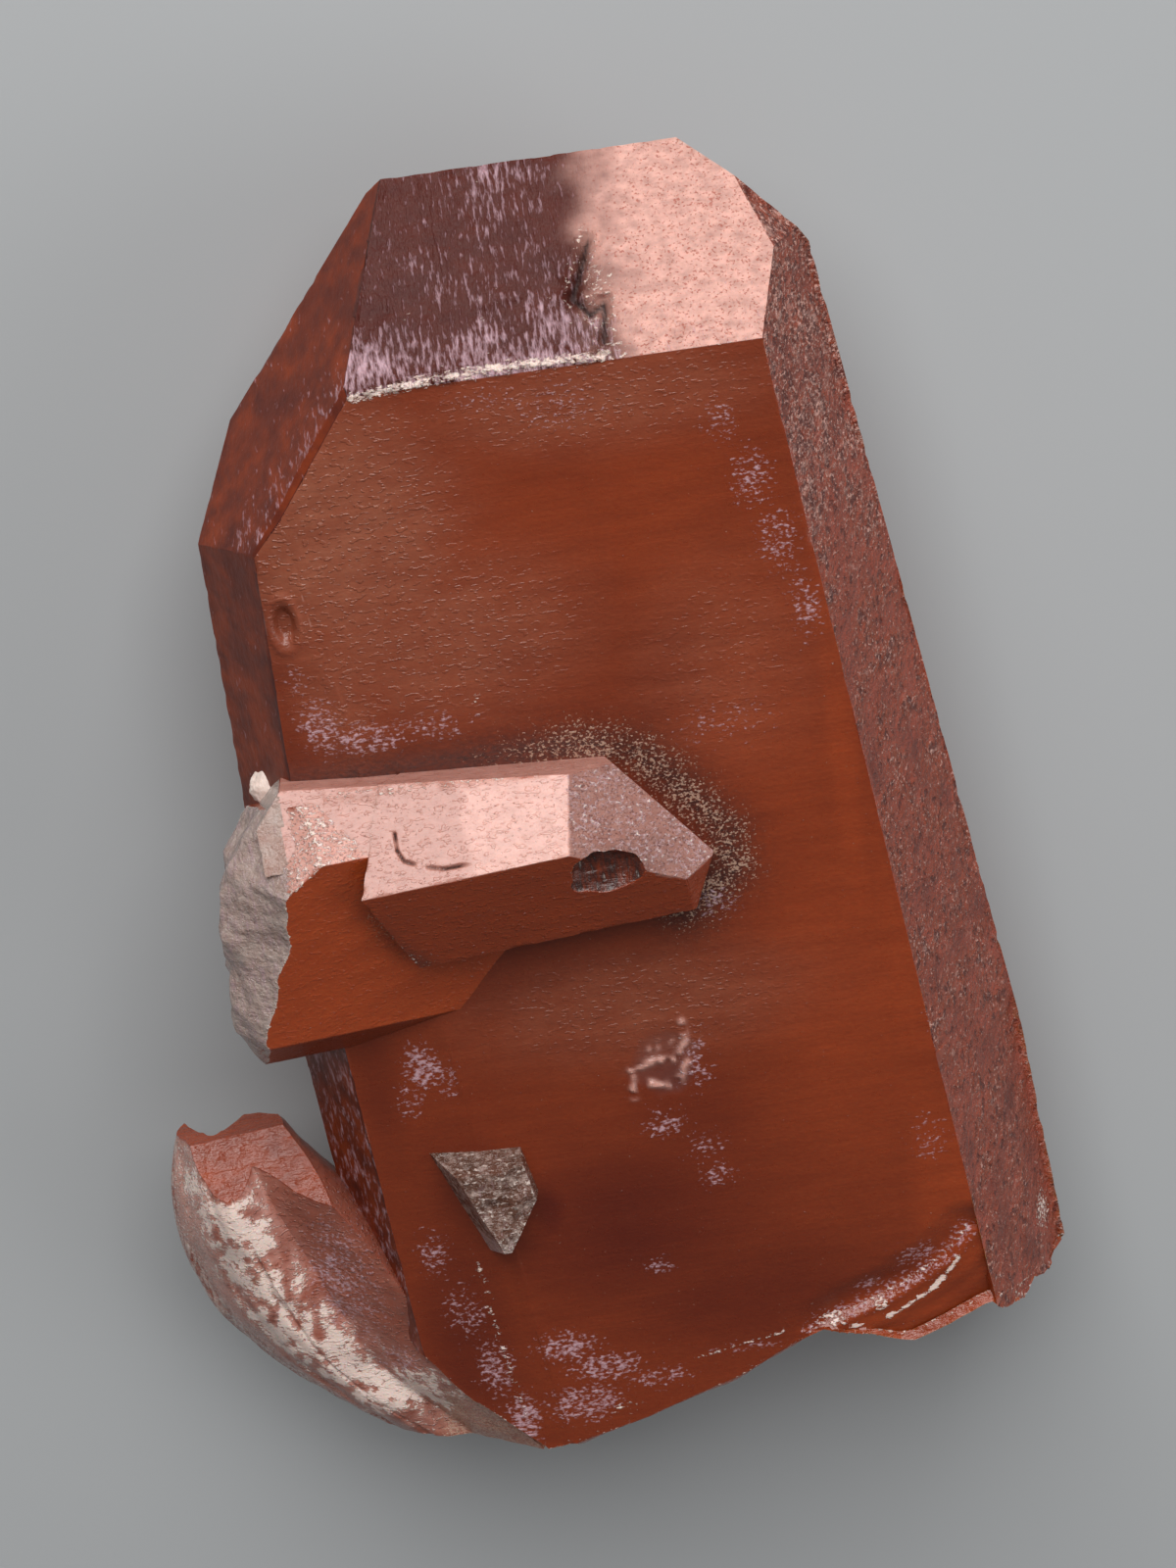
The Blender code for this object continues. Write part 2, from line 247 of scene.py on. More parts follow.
# Soft oval patches on the splinter: cream crust, and mauve dust.
SPLINTER_CREAM = [(-21.9, -29.6, 1.2, 1.6, 0.6)]
SPLINTER_DUST = [(-17.6, -30.0, 2.8, 6.5, 0.56), (-15.4, -36.0, 2.4, 2.4, 0.52)]

# Lines of (x, y) points. On the broad crystal: the clam-shell break at the front face's lower
# right with the painted glint in it and a scratch beside it, the crack on the tip and its left
# bevel, the lip along the tip's foot, which is a crust at the left and a painted shine at the
# right, the ridge beside the lower left strip, the ledges in the etched scar, which carry painted
# highlights, the dark band of grains round the crossing crystal, and a line through the scar
# and one through the pit.
SHELL_ARC = [(8.2, -35.6), (10.0, -34.9), (12.3, -34.1), (14.6, -33.0), (16.3, -31.9), (17.4, -30.6)]
SHELL_PAINTED_GLINT = [(8.7, -35.7), (11.8, -35.8), (13.2, -35.2), (15.4, -33.9), (17.4, -31.6)]
SCRATCH = [(1.4, -36.3), (6.6, -35.4)]
TIP_CRACK = [(3.9, 28.6), (3.1, 26.9), (2.7, 26.3), (3.5, 25.5), (4.3, 25.9), (4.0, 24.3)]
TIP_BEVEL = [(-9.6, 23.0), (-15.4, 15.2)]
LIP_LINE = [(-9.3, 23.3), (-6.0, 23.6), (-1.9, 23.75), (1.1, 23.7), (4.1, 23.6), (12.0, 23.4)]
LIP_CRUST, LIP_SHINE = LIP_LINE[:5], LIP_LINE[4:]
STRIP_RIDGE = [(-9.9, -27.6), (-9.4, -33.0), (-8.5, -38.8)]
SCAR_LEDGES = [
    [(0.1, -17.5), (1.5, -17.1), (2.6, -17.2)], [(2.6, -17.2), (3.3, -16.1), (3.2, -14.9)],
    [(0.8, -18.4), (2.1, -18.7)], [(2.6, -18.7), (3.2, -17.4)], [(0.1, -19.1), (0.2, -18.0)],
    [(1.4, -16.4), (2.5, -16.0)],
]
DARK_BAND = [
    (-15.6, 2.0), (-10.1, 2.3), (-4.9, 2.4), (0.3, 2.3), (2.8, 1.4), (4.8, -0.9), (7.0, -4.0),
    (7.0, -6.2), (4.4, -8.2),
]
SCAR_LINE = [(1.9, -19.0), (1.9, -15.4)]
PIT_LINE = [(-14.5, 10.6), (-14.5, 12.2)]

# On the crossing crystal: its crack, its double ridge and its left end. On the splinter: the
# middle of its frosted back, whose white is partly a painted highlight.
CROSSING_CRACK = [(-10.4, 0.3), (-10.4, -0.4), (-10.1, -0.9), (-9.2, -1.2), (-8.0, -1.4), (-6.7, -1.3)]
CROSSING_RIDGE = [(-13.6, 2.15), (-6.0, 2.2), (0.2, 2.3)]
CROSSING_LEFT = [(-12.4, -4.4), (-11.4, -6.2), (-10.0, -7.8)]
SPLINTER_FROST_AND_SHINE = [
    (-23.8, -23.8), (-23.0, -27.0), (-22.2, -30.0), (-20.2, -34.0), (-16.8, -37.4), (-13.8, -37.8),
]

# The x where the tip's etched part ends, and where the side crystal's sparkling part begins.
TIP_ETCH_EDGE = 4.6
SPARKLING_EDGE = -16.2

# The lines whose relief is small, and how far each side of them the mesh is finer.
FINE_LINES = [
    (LIP_LINE, 0.8), (TIP_CRACK, 1.0), (SHELL_ARC, 2.6), (SCAR_LINE, 2.3), (PIT_LINE, 1.6),
    (STRIP_RIDGE, 0.6), (SCRATCH, 0.5),
]

# How far apart the scored lines are and how many cuts come between them. That gives the
# step of the finished surface. Corners nearer to each other than the weld are made one.
SCORE_STEP = 2.4
SCORE_CUTS = 5
WELD = 0.05

# A point this near to a plane lies on it. Faces that meet at less than the angle are smooth.
ON_PLANE = 0.02
SMOOTH_ANGLE = 24.0

# Socket numbers of the Mix node for colours.
MIX_A, MIX_B, MIX_RESULT = 6, 7, 2

# The quartz's surfaces, and the numbers of the slots that they stand in. A break is always
# the second. The crossing crystal has clear quartz as its third.
GROWN_QUARTZ = "hematite quartz, as grown"
BROKEN_QUARTZ = "hematite quartz, broken"
SUGARY_QUARTZ = "hematite quartz, sugary"
ETCHED_QUARTZ = "hematite quartz, etched"
SMOKY_QUARTZ = "smoky clear quartz"
CHALKY_QUARTZ = "white granular quartz"
GROWN, BROKEN, SUGARY, ETCHED = range(4)
CLEAR = 2

# The layers of finish that a piece can be painted with.
LAYERS = (
    "deep", "glow", "haze", "blush", "fleck", "pores", "grit", "gold", "polish", "dust", "peel",
    "scar", "etch", "frost", "hollow", "sparkle", "crumb",
)

# Quartz bends light by 1.54. A finely pitted face shines as if it were less dense.
QUARTZ_IOR = 1.54
ETCHED_IOR = 1.30

# A speckle's texture is sharpened by the contrast, and its specks begin at the level.
SPECK_CONTRAST = 1.9
SPECK_LEVEL = 0.5

# Each texture's feature size in millimetres, its stretch along each axis, and its detail.
# The grains are drawn a little coarser than the finest real ones, so that they show.
TEXTURES = {
    "cloud": (7.0, (1.7, 1, 1), 4),
    "coarse": (1.3, (1.5, 1, 1), 3),
    "mottle": (0.5, (1.5, 1, 1), 4),
    "specks": (0.20, (1.5, 1, 1), 2),
    "flecks": (0.13, (1.2, 1, 1), 1),
    "lines": (0.26, (14, 1, 1), 3),
    "streamers": (1.0, (5, 1, 1), 3),
    "dashes": (0.25, (2.0, 1, 1), 1),
    "grain": (0.48, (1, 1.3, 1), 4),
    "streaks": (0.19, (1, 4.5, 3.5), 3),
}


def linear(code):
    """An sRGB hex colour as linear light."""
    parts = [int(code[at:at + 2], 16) / 255 for at in (1, 3, 5)]
    return [part / 12.92 if part <= 0.04045 else ((part + 0.055) / 1.055) ** 2.4 for part in parts]


def colour(name, code, description):
    return FloatVectorProperty(
        name=name, description=description, default=linear(code), subtype="COLOR", min=0, max=1
    )


def length(name, millimetres, description):
    return FloatProperty(
        name=name, description=description, default=millimetres * MM, unit="LENGTH", precision=5
    )


class ClusterColours(bpy.types.PropertyGroup):
    rust: colour("Rust", "#893819", "The body colour of the quartz, from fine hematite in it")
    # Maroon also paints the shadow beside the stub, and the shade in the sugary grains' hollows.
    maroon: colour("Maroon", "#561A0E", "Where the hematite lies thick or deep")
    orange: colour("Orange", "#AE4A20", "Where light comes back out of thin or clearer quartz")
    haze: colour("Haze", "#AA664C", "The satin bloom over the upper part of the front face")
    # Blush is partly a painted sheen: the faces that lean toward the tip face the key light.
    blush: colour("Blush", "#E0AA9C", "The pink skin on the faces that lean toward the tip")
    cherry: colour("Cherry", "#A54B36", "The sugary faces on the right")
    wine: colour("Wine", "#46201D", "The etched faces of the tip")
    dust: colour("Dust", "#D0ABB4", "Mauve dust that has stuck to the faces")
    grit: colour("Grit", "#33211F", "The dark grains along the crossing crystal")
    gold: colour("Gold", "#C4A08A", "The pale gold specks among the dark grains")
    # Crumb also paints highlights: the glint in the clam-shell break, the shine on the tip's lip, part of the
    # white along the shell's rim and the crossing ridge, and much of the splinter's bright back.
    crumb: colour("Crumb", "#F6DED2", "White crumbs and crusts of fine quartz")
    smoke: colour("Smoke", "#E0CBC0", "The clear, slightly smoky quartz in the fresh breaks")
    umber: colour("Umber", "#5C4438", "The darker depths of the smoky quartz")
    floor: colour("Floor", "#B3B5B6", "The plain floor")


class ClusterSizes(bpy.types.PropertyGroup):
    edge_nick: length("Edge nick", 0.07, "Depth of the small nicks along the crystals' edges")
    lip: length("Lip height", 0.30, "Height of the crust along the foot of the tip")
    scar: length("Scar depth", 0.10, "Depth of the etched scar in the front face")
    shell: length("Shell depth", 0.60, "Depth of the clam-shell break at the lower right")


def axis_frame(turn, dip, start):
    """A crystal's right, forward and up directions, for an axis turned from a start
    direction in the floor's plane and dipped below it."""
    forward = Matrix.Rotation(math.radians(turn), 3, "Z") @ Vector(start)
    up = Vector((0, 0, 1))
    if dip:
        forward = Matrix.Rotation(math.radians(dip), 3, up.cross(forward)) @ forward
    up = (up - up.dot(forward) * forward).normalized()
    return forward.cross(up), forward, up


# Each crystal's axes, centre and faces. The slanting one is the broken side crystal.
BROAD = (axis_frame(0, 0, (0, 1, 0)), BROAD_CENTRE, BROAD_FACES)
STUB = (BROAD[0], STUB_CENTRE, STUB_FACES)
CROSSING = (axis_frame(CROSSING_TURN, 0, (1, 0, 0)), CROSSING_CENTRE, CROSSING_FACES)
CROSSING_TAIL = (CROSSING[0], CROSSING_CENTRE, CROSSING_TAIL_FACES)
SLANTING = (axis_frame(BROKEN_TURN, BROKEN_DIP, (1, 0, 0)), BROKEN_CENTRE, BROKEN_FACES)


def face_normal(axes, azimuth, rise):
    right, forward, up = axes
    turn, lift = math.radians(azimuth), math.radians(rise)
    level = math.sin(turn) * right + math.cos(turn) * up
    return math.cos(lift) * level + math.sin(lift) * forward


def between(points, place):
    """Read a smooth curve through evenly spaced values, with place from 0 to 1."""
    last = len(points) - 1
    step = min(int(place * last), last - 1)
    part = place * last - step
    before, start = points[max(step - 1, 0)], points[step]
    end, after = points[step + 1], points[min(step + 2, last)]
    leave, arrive = (end - before) / 2, (after - start) / 2
    turn = 2 * (start - end) + leave + arrive
    bend = 3 * (end - start) - 2 * leave - arrive
    return ((turn * part + bend) * part + leave) * part + start


def broken_relief(x, y, scale):
    """The uneven height of a fresh break: broad shells, with finer steps and ripples."""
    shells = noise.noise(Vector((x, y, 0.0)) / (5 * scale))
    steps = noise.noise(Vector((x + 40, y - 25, 7.0)) / (1.7 * scale))
    fine = abs(noise.noise(Vector((x - 13, y + 31, 3.0)) / (0.75 * scale)))
    ripple = math.sin(math.hypot(x - 14, y + 6) * 1.9 / scale)
    return scale * (0.95 * shells + 0.42 * steps - 0.22 * fine + 0.07 * ripple)


def lumps(points, size, stretch=(1, 1, 1), seed=0):
    """Smooth noise at points in millimetres, from about -1 to 1, with lumps of a given size."""
    scaled = points / (size * np.array(stretch)) + seed * np.array((17.3, 5.1, 9.7))
    return np.array([noise.noise(point) for point in scaled.tolist()])


def soft_step(values, low, high):
    part = np.clip((values - low) / (high - low), 0, 1)
    return part * part * (3 - 2 * part)


def patches(points, spots):
    """How strongly soft oval patches, given as (x, y, half width, half length, strength),
    cover each point seen from above."""
    cover = np.zeros(len(points))
    for x, y, wide, long, strength in spots:
        away = ((points[:, 0] - x) / wide) ** 2 + ((points[:, 1] - y) / long) ** 2
        cover = np.maximum(cover, strength * np.exp(-away ** 1.5))
    return cover


def ragged(points, size, seed):
    """A factor that breaks a smooth line up into uneven bits, from 0 to about 1.5."""
    return np.clip(0.6 + 2.2 * lumps(points, size, seed=seed), 0, 1.5)


def from_line(points, line):
    """Each point's distance, seen from above, to a line of (x, y) points."""
    spots, best = points[:, :2], np.full(len(points), RAW_HALF_SIZE)
    for start, end in zip(line, line[1:]):
        start, run = np.array(start), np.array(end) - np.array(start)
        part = np.clip((spots - start) @ run / (run @ run), 0, 1)
        best = np.minimum(best, np.linalg.norm(spots - start - part[:, None] * run, axis=1))
    return best


def near_line(points, line, width):
    """1 on a line of (x, y) points, fading to 0 a few widths away from it."""
    return np.exp(-(from_line(points, line) / width) ** 2)


def mode(name):
    bpy.ops.object.mode_set(mode=name)


def select(action):
    bpy.ops.mesh.select_all(action=action)


def only(name=None):
    """Leave object mode's selection empty, or with one object in it."""
    if bpy.context.object and bpy.context.object.mode != "OBJECT":
        mode("OBJECT")
    bpy.ops.object.select_all(action="DESELECT")
    if name:
        bpy.data.objects[name].select_set(True)
        bpy.context.view_layer.objects.active = bpy.data.objects[name]


def started(name):
    """Name the primitive that was just added, and return it."""
    piece = bpy.context.object
    piece.name = piece.data.name = name
    return piece


def start_editing():
    """Go into edit mode, with everything selected."""
    mode("EDIT")
    select("SELECT")


def finish_editing():
    """Turn every face outward, and leave edit mode."""
    select("SELECT")
    bpy.ops.mesh.normals_make_consistent(inside=False)
    mode("OBJECT")


def slice_at(point, normal, **settings):
    """In edit mode, cut the whole mesh with a plane through a point in millimetres."""
    select("SELECT")
    bpy.ops.mesh.bisect(plane_co=Vector(point) * MM, plane_no=normal, **settings)


def cut_crystal(name, axes, centre, faces, step=SCORE_STEP, cuts=SCORE_CUTS):
    """Cut a raw block back to each crystal face in turn. Then score it into cells along its
    own axes and divide them finely, so that its faces can carry fine relief."""
    only()
    bpy.ops.mesh.primitive_cube_add(size=2 * RAW_HALF_SIZE * MM)
    piece = started(name)
    start_editing()
    for azimuth, rise, distance in faces.values():
        normal = face_normal(axes, azimuth, rise)
        slice_at(Vector(centre) + normal * distance, normal, use_fill=True, clear_outer=True)
    mode("OBJECT")
    spots = [vert.co - Vector(centre) * MM for vert in piece.data.vertices]
    start_editing()
    for axis in axes:
        reach = [spot.dot(axis) / MM for spot in spots]
        line = math.ceil(min(reach) / step + 0.25) * step
        while line < max(reach) - 0.25 * step:
            slice_at(Vector(centre) + axis * line, axis)
            line += step
    select("SELECT")
    bpy.ops.mesh.remove_doubles(threshold=WELD * MM)
    bpy.ops.mesh.select_mode(type="FACE")
    select("DESELECT")
    bpy.ops.mesh.select_face_by_sides(number=4, type="NOTEQUAL")
    bpy.ops.mesh.quads_convert_to_tris()
    select("SELECT")
    bpy.ops.mesh.subdivide(number_cuts=cuts)
    finish_editing()
    return piece


def placed(centre, across, along, out):
    """A place whose own axes point across, along and out."""
    turn = Matrix((across, along, out)).transposed().to_4x4()
    return Matrix.Translation(Vector(centre) * MM) @ turn


def break_tool(place, width, long, cell, depth, height):
    """A block whose one side is an uneven break, to cut a crystal with. Its width, length,
    cells and depth are in millimetres."""
    only()
    bpy.ops.mesh.primitive_grid_add(
        x_subdivisions=round(width / cell), y_subdivisions=round(long / cell), size=MM
    )
    tool = started("break_tool")
    mode("EDIT")
    bpy.ops.transform.resize(value=(width, long, 1))
    bpy.ops.mesh.extrude_region_move(TRANSFORM_OT_translate={"value": (0, 0, depth * MM)})
    mode("OBJECT")
    for vert in tool.data.vertices:
        if not vert.select:
            vert.co.z = height(vert.co.x / MM, vert.co.y / MM) * MM
    tool.data.transform(place)
    return tool


def pebble(name, centre, size, stretch):
    """A rough little lump."""
    only()
    bpy.ops.mesh.primitive_ico_sphere_add(subdivisions=5, radius=size * MM)
    tool = started(name)
    for vert in tool.data.vertices:
        coarse = noise.noise(vert.co / (0.6 * size * MM) + Vector(centre) * 0.3)
        fine = noise.noise(vert.co / (0.22 * size * MM))
        vert.co *= 1 + 0.22 * coarse + 0.06 * fine
        vert.co = Vector(a * b for a, b in zip(vert.co, stretch)) + Vector(centre) * MM
    return tool


def cut_with(piece, tool):
    """Cut a piece with a tool. The faces that the tool leaves take the second material."""
    for thing in (piece, tool):
        while len(thing.data.materials) < 2:
            thing.data.materials.append(None)
    for face in tool.data.polygons:
        face.material_index = BROKEN
    only(tool.name)
    mode("EDIT")
    finish_editing()
    only(piece.name)
    modifier = piece.modifiers.new("cut", "BOOLEAN")
    modifier.operation = "DIFFERENCE"
    modifier.solver = "MANIFOLD"
    modifier.object = tool
    bpy.ops.object.modifier_apply(modifier=modifier.name)
    bpy.data.objects.remove(tool, do_unlink=True)


def rows(items, name):
    """A vector that each vertex or face has, as rows."""
    values = np.zeros(len(items) * 3)
    items.foreach_get(name, values)
    return values.reshape(-1, 3)


def places(piece):
    """The places of a piece's vertices, in millimetres."""
    return rows(piece.data.vertices, "co") / MM


def face_places(piece):
    return rows(piece.data.polygons, "center") / MM


def on_faces(points, axes, centre, faces):
    """For each named crystal face, which of the points lie on it."""
    found = {}
    for name, (azimuth, rise, distance) in faces.items():
        normal = np.array(face_normal(axes, azimuth, rise))
        found[name] = np.abs((points - np.array(centre)) @ normal - distance) < ON_PLANE
    return found


def on_any(on, names):
    return np.any([on[name] for name in names], axis=0)


def raise_by(piece, heights):
    """Move each vertex out along its own normal, by a height in millimetres."""
    moved = places(piece) + rows(piece.data.vertex_normals, "vector") * heights[:, None]
    piece.data.vertices.foreach_set("co", (moved * MM).ravel())
    piece.data.update()


def paint(piece, **layers):
    """Store how strongly each finish shows at each vertex, for the materials to read. A layer
    that isn't given stays bare."""
    values = np.zeros(len(piece.data.vertices), dtype=np.float32)
    for name in LAYERS:
        values[:] = layers.get(name, 0)
        piece.data.attributes.new(name, "FLOAT", "POINT").data.foreach_set("value", values)


def refine(piece, chosen):
    """Divide the chosen faces more finely, for the small relief on them."""
    only(piece.name)
    mode("EDIT")
    bpy.ops.mesh.select_mode(type="FACE")
    select("DESELECT")
    mode("OBJECT")
    piece.data.polygons.foreach_set("select", chosen)
    mode("EDIT")
    bpy.ops.mesh.subdivide(number_cuts=2)
    mode("OBJECT")


def on_rim(piece):
    """Which vertices lie on the rim of a break."""
    broken = np.zeros(len(piece.data.vertices), dtype=bool)
    grown = broken.copy()
    for face in piece.data.polygons:
        side = broken if face.material_index == BROKEN else grown
        side[list(face.vertices)] = True
    return broken & grown


def give_slot(piece, number, chosen, old=GROWN):
    """Give the chosen faces another of the piece's materials, where they have the old one."""
    numbers = np.zeros(len(piece.data.polygons), dtype=np.int32)
    piece.data.polygons.foreach_get("material_index", numbers)
    numbers[chosen & (numbers == old)] = number
    piece.data.polygons.foreach_set("material_index", numbers)


def hand_in(piece, *materials):
    """Give a finished piece its materials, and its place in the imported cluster."""
    slots = piece.data.materials
    while len(slots) < len(materials):
        slots.append(None)
    for number, name in enumerate(materials):
        slots[number] = bpy.data.materials[name]
    only(piece.name)
    bpy.ops.object.shade_smooth_by_angle(angle=math.radians(SMOOTH_ANGLE))
    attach(piece, "root")
    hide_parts(NODE)


class Finish:
    """A quartz surface in the making: its body colour, with finishes laid over it in turn.
    A texture is named in TEXTURES, and a painted layer is a piece's own attribute."""

    def __init__(self, name, body, roughness):
        self.material = bpy.data.materials.new(name)
        self.material.use_nodes = True
        self.tree = self.material.node_tree
        self.shader = self.tree.nodes["Principled BSDF"]
        self.place = self.add("TexCoord", out="Object")
        self.colour = [*body, 1]
        self.roughness = roughness
        self.height = 0.0
        self.made = {}

    def connect(self, value, socket):
        """Link an output to a socket, or set the socket to a plain value."""
        if isinstance(value, bpy.types.NodeSocket):
            self.tree.links.new(value, socket)
        else:
            socket.default_value = value

    def add(self, kind, inputs=(), out=0, **settings):
        """Add a node with its settings and its inputs, by name or in their order, and return
        one of its outputs."""
        node = self.tree.nodes.new("ShaderNode" + kind)
        for name, value in settings.items():
            setattr(node, name, value)
        inputs = inputs if isinstance(inputs, dict) else dict(enumerate(inputs))
        for socket, value in inputs.items():
            self.connect(value, node.inputs[socket])
        return node.outputs[out]

    def texture(self, name):
        if name not in self.made:
            size, stretch, detail = TEXTURES[name]
            scale = [1 / (size * MM * along) for along in stretch]
            place = self.add("Mapping", {"Vector": self.place, "Scale": scale})
            inputs = {"Vector": place, "Scale": 1.0, "Detail": detail, "Roughness": 0.6}
            self.made[name] = self.add("TexNoise", inputs)
        return self.made[name]

    def painted(self, name):
        if name not in self.made:
            self.made[name] = self.add("Attribute", out="Fac", attribute_name=name)
        return self.made[name]

    def cover_with(self, code, part):
        inputs = {0: part, MIX_A: self.colour, MIX_B: [*code, 1]}
        self.colour = self.add("Mix", inputs, MIX_RESULT, data_type="RGBA")

    def raise_with(self, pattern, tall):
        """Add relief where a pattern is high, up to a height in millimetres."""
        self.height = self.add("Math", (pattern, tall * MM, self.height), operation="MULTIPLY_ADD")

    def roughen_with(self, pattern, rough):
        self.roughness = self.add("Math", (pattern, rough, self.roughness), operation="MULTIPLY_ADD")

    def tint(self, layer, code, strength=1.0, texture="cloud", swing=0.0):
        """Lay a colour over the body as strongly as a layer is painted, and unevenly, by the
        swing of a texture."""
        uneven = (self.texture(texture), swing, strength - swing / 2)
        uneven = self.add("Math", uneven, operation="MULTIPLY_ADD")
        part = (self.painted(layer), uneven)
        self.cover_with(code, self.add("Math", part, operation="MULTIPLY", use_clamp=True))

    def speckle(self, layer, texture, code, opacity, soft=0.2, rough=0.0, tall=0.0):
        """Scatter a finish in specks, dense where its layer is painted strongly. The specks
        can be rougher than the face, and stand above it by a height in millimetres."""
        ragged = self.add("Math", (self.texture("coarse"), 1.0, 0.5), operation="MULTIPLY_ADD")
        cover = self.add("Math", (self.painted(layer), ragged, -SPECK_CONTRAST / 2), operation="MULTIPLY_ADD")
        level = (self.texture(texture), SPECK_CONTRAST, cover)
        level = self.add("Math", level, operation="MULTIPLY_ADD")
        part = {"From Min": SPECK_LEVEL, "From Max": SPECK_LEVEL + soft, "To Max": opacity}
        part = self.add("MapRange", {"Value": level, **part})
        self.cover_with(code, part)
        if rough:
            self.roughen_with(part, rough)
        if tall:
            self.raise_with(part, tall)

    def relief(self, texture, tall, layer=None, low=0.0, high=1.0):
        """Add relief from a texture between two of its levels, where a layer is painted."""
        part = {"Value": self.texture(texture), "From Min": low, "From Max": high}
        if layer:
            part["To Max"] = self.painted(layer)
        self.raise_with(self.add("MapRange", part), tall)

    def quartz(self, ior=QUARTZ_IOR, depth=0.6, spread=(1.0, 0.4, 0.25), soft=0.25, clear=0.0):
        """Link it all up, and set what is the same over the whole surface. Depth is how far
        light goes in, in millimetres."""
        sockets = {
            "Base Color": self.colour,
            "Roughness": self.roughness,
            "Normal": self.add("Bump", {"Height": self.height, "Distance": 1.0}),
            "IOR": ior,
            "Subsurface Weight": soft,
            "Subsurface Radius": spread,
            "Subsurface Scale": depth * MM,
            "Transmission Weight": clear,
        }
        for name, value in sockets.items():
            self.connect(value, self.shader.inputs[name])


def grown_quartz(colours):
    """Quartz red with fine hematite, as it grew: a satin face over a colour that seems to lie
    below it, with fine lines across the crystal and dust, dark grains and crusts on it."""
    face = Finish(GROWN_QUARTZ, colours.rust, 0.20)
    face.roughen_with(face.texture("mottle"), 0.2)
    face.roughen_with(face.painted("polish"), -0.2)
    face.tint("deep", colours.maroon, 1.0, "cloud", 1.5)
    face.tint("glow", colours.orange, 1.0, "cloud", 1.5)
    face.tint("haze", colours.haze, 0.9, "coarse", 1.2)
    face.tint("fleck", colours.maroon, 1.0, "streamers", 4.0)
    face.tint("fleck", colours.maroon, 1.0, "specks", 3.0)
    # Blush here is partly a painted pink sheen on the faces turned toward the key light.
    face.tint("blush", colours.blush, 1.0, "mottle", 1.0)
    face.speckle("pores", "flecks", colours.maroon, 0.6, 0.3, tall=-0.02)
    # The scar's ledges get a painted pink highlight.
    face.tint("scar", colours.blush, 0.8, "mottle", 1.2)
    face.tint("grit", colours.grit, 0.95, "specks", 1.4)
    face.speckle("gold", "flecks", colours.gold, 0.7, 0.25, tall=0.02)
    face.speckle("dust", "specks", colours.dust, 0.75, 0.35, rough=0.3, tall=0.02)
    face.speckle("crumb", "specks", colours.crumb, 0.9, 0.25, rough=0.2, tall=0.08)
    face.relief("lines", 0.02)
    face.relief("specks", 0.02)
    face.relief("dashes", 0.045, "peel", 0.57, 0.64)
    face.quartz()


def sugary_quartz(colours):
    """The same quartz where it grew as a crust of tiny fused grains, rough and sparkling."""
    face = Finish(SUGARY_QUARTZ, colours.cherry, 0.27)
    face.roughen_with(face.texture("grain"), 0.3)
    face.tint("deep", colours.maroon, 1.0, "cloud", 3.0)
    face.tint("glow", colours.rust, 1.0, "coarse", 4.0)
    # Painted shade in the hollows between the grains, and painted highlights on their tops.
    face.speckle("hollow", "grain", colours.maroon, 0.9, 0.25, tall=-0.18)
    face.speckle("sparkle", "mottle", colours.blush, 0.3, 0.3, tall=0.1)
    face.speckle("sparkle", "specks", colours.blush, 0.8, 0.25, tall=0.07)
    face.speckle("crumb", "specks", colours.crumb, 0.9, 0.2, rough=0.2, tall=0.06)
    face.relief("grain", 0.4)
    face.relief("coarse", 0.5)
    face.quartz(soft=0.15)


def etched_quartz(colours):
    """The same quartz where it is etched: dark and finely pitted down the slope, with pale
    flecks where crust is left. Its pits take most of the gloss, so it shines less."""
    face = Finish(ETCHED_QUARTZ, colours.wine, 0.3)
    face.roughen_with(face.texture("streaks"), 0.3)
    face.tint("deep", colours.maroon, 0.6, "cloud", 2.0)
    face.tint("glow", colours.rust, 1.0, "coarse", 3.0)
    # On the tip's bare right part this blush is a painted reflection of the key light.
    face.tint("blush", colours.blush, 1.0, "mottle", 1.4)
    face.speckle("pores", "flecks", colours.cherry, 0.7, 0.25, tall=-0.03)
    face.speckle("frost", "streaks", colours.dust, 0.85, 0.5, rough=0.1, tall=0.05)
    face.speckle("crumb", "specks", colours.crumb, 0.95, 0.3, tall=0.06)
    face.tint("grit", colours.grit, 1.0)
    face.relief("streaks", 0.14, "etch")
    face.relief("mottle", 0.1, "etch")
    face.quartz(ior=ETCHED_IOR, soft=0.2)


def broken_quartz(colours):
    """The same quartz where it broke: glassy and deeper in colour, with pale flaws."""
    face = Finish(BROKEN_QUARTZ, colours.rust, 0.1)
    face.roughen_with(face.texture("mottle"), 0.3)
    face.tint("deep", colours.maroon, 1.0, "cloud", 2.0)
    face.tint("glow", colours.orange, 1.0, "coarse", 2.0)
    face.tint("grit", colours.grit, 0.9, "streaks", 3.0)
    face.speckle("frost", "streaks", colours.smoke, 0.7, 0.4, tall=0.03)
    face.speckle("crumb", "specks", colours.crumb, 0.9, 0.25, tall=0.05)
    face.relief("mottle", 0.16)
    face.relief("lines", 0.08)
    face.quartz(soft=0.3, depth=0.8)


def smoky_quartz(colours):
    """Clear quartz, a little smoky and full of small flaws. Light goes into it and the break
    glints in it."""
    face = Finish(SMOKY_QUARTZ, colours.smoke, 0.04)
    face.roughen_with(face.texture("mottle"), 0.3)
    face.tint("deep", colours.umber, 1.0, "grain", 4.0)
    face.tint("blush", colours.haze, 0.6, "coarse", 2.0)
    face.speckle("frost", "streaks", colours.dust, 0.6, 0.5, tall=0.04)
    face.speckle("crumb", "specks", colours.crumb, 0.95, 0.25, tall=0.08)
    face.relief("mottle", 0.3)
    face.relief("grain", 0.15)
    face.quartz(soft=0.35, depth=0.8, spread=(1.0, 0.8, 0.7), clear=0.3)


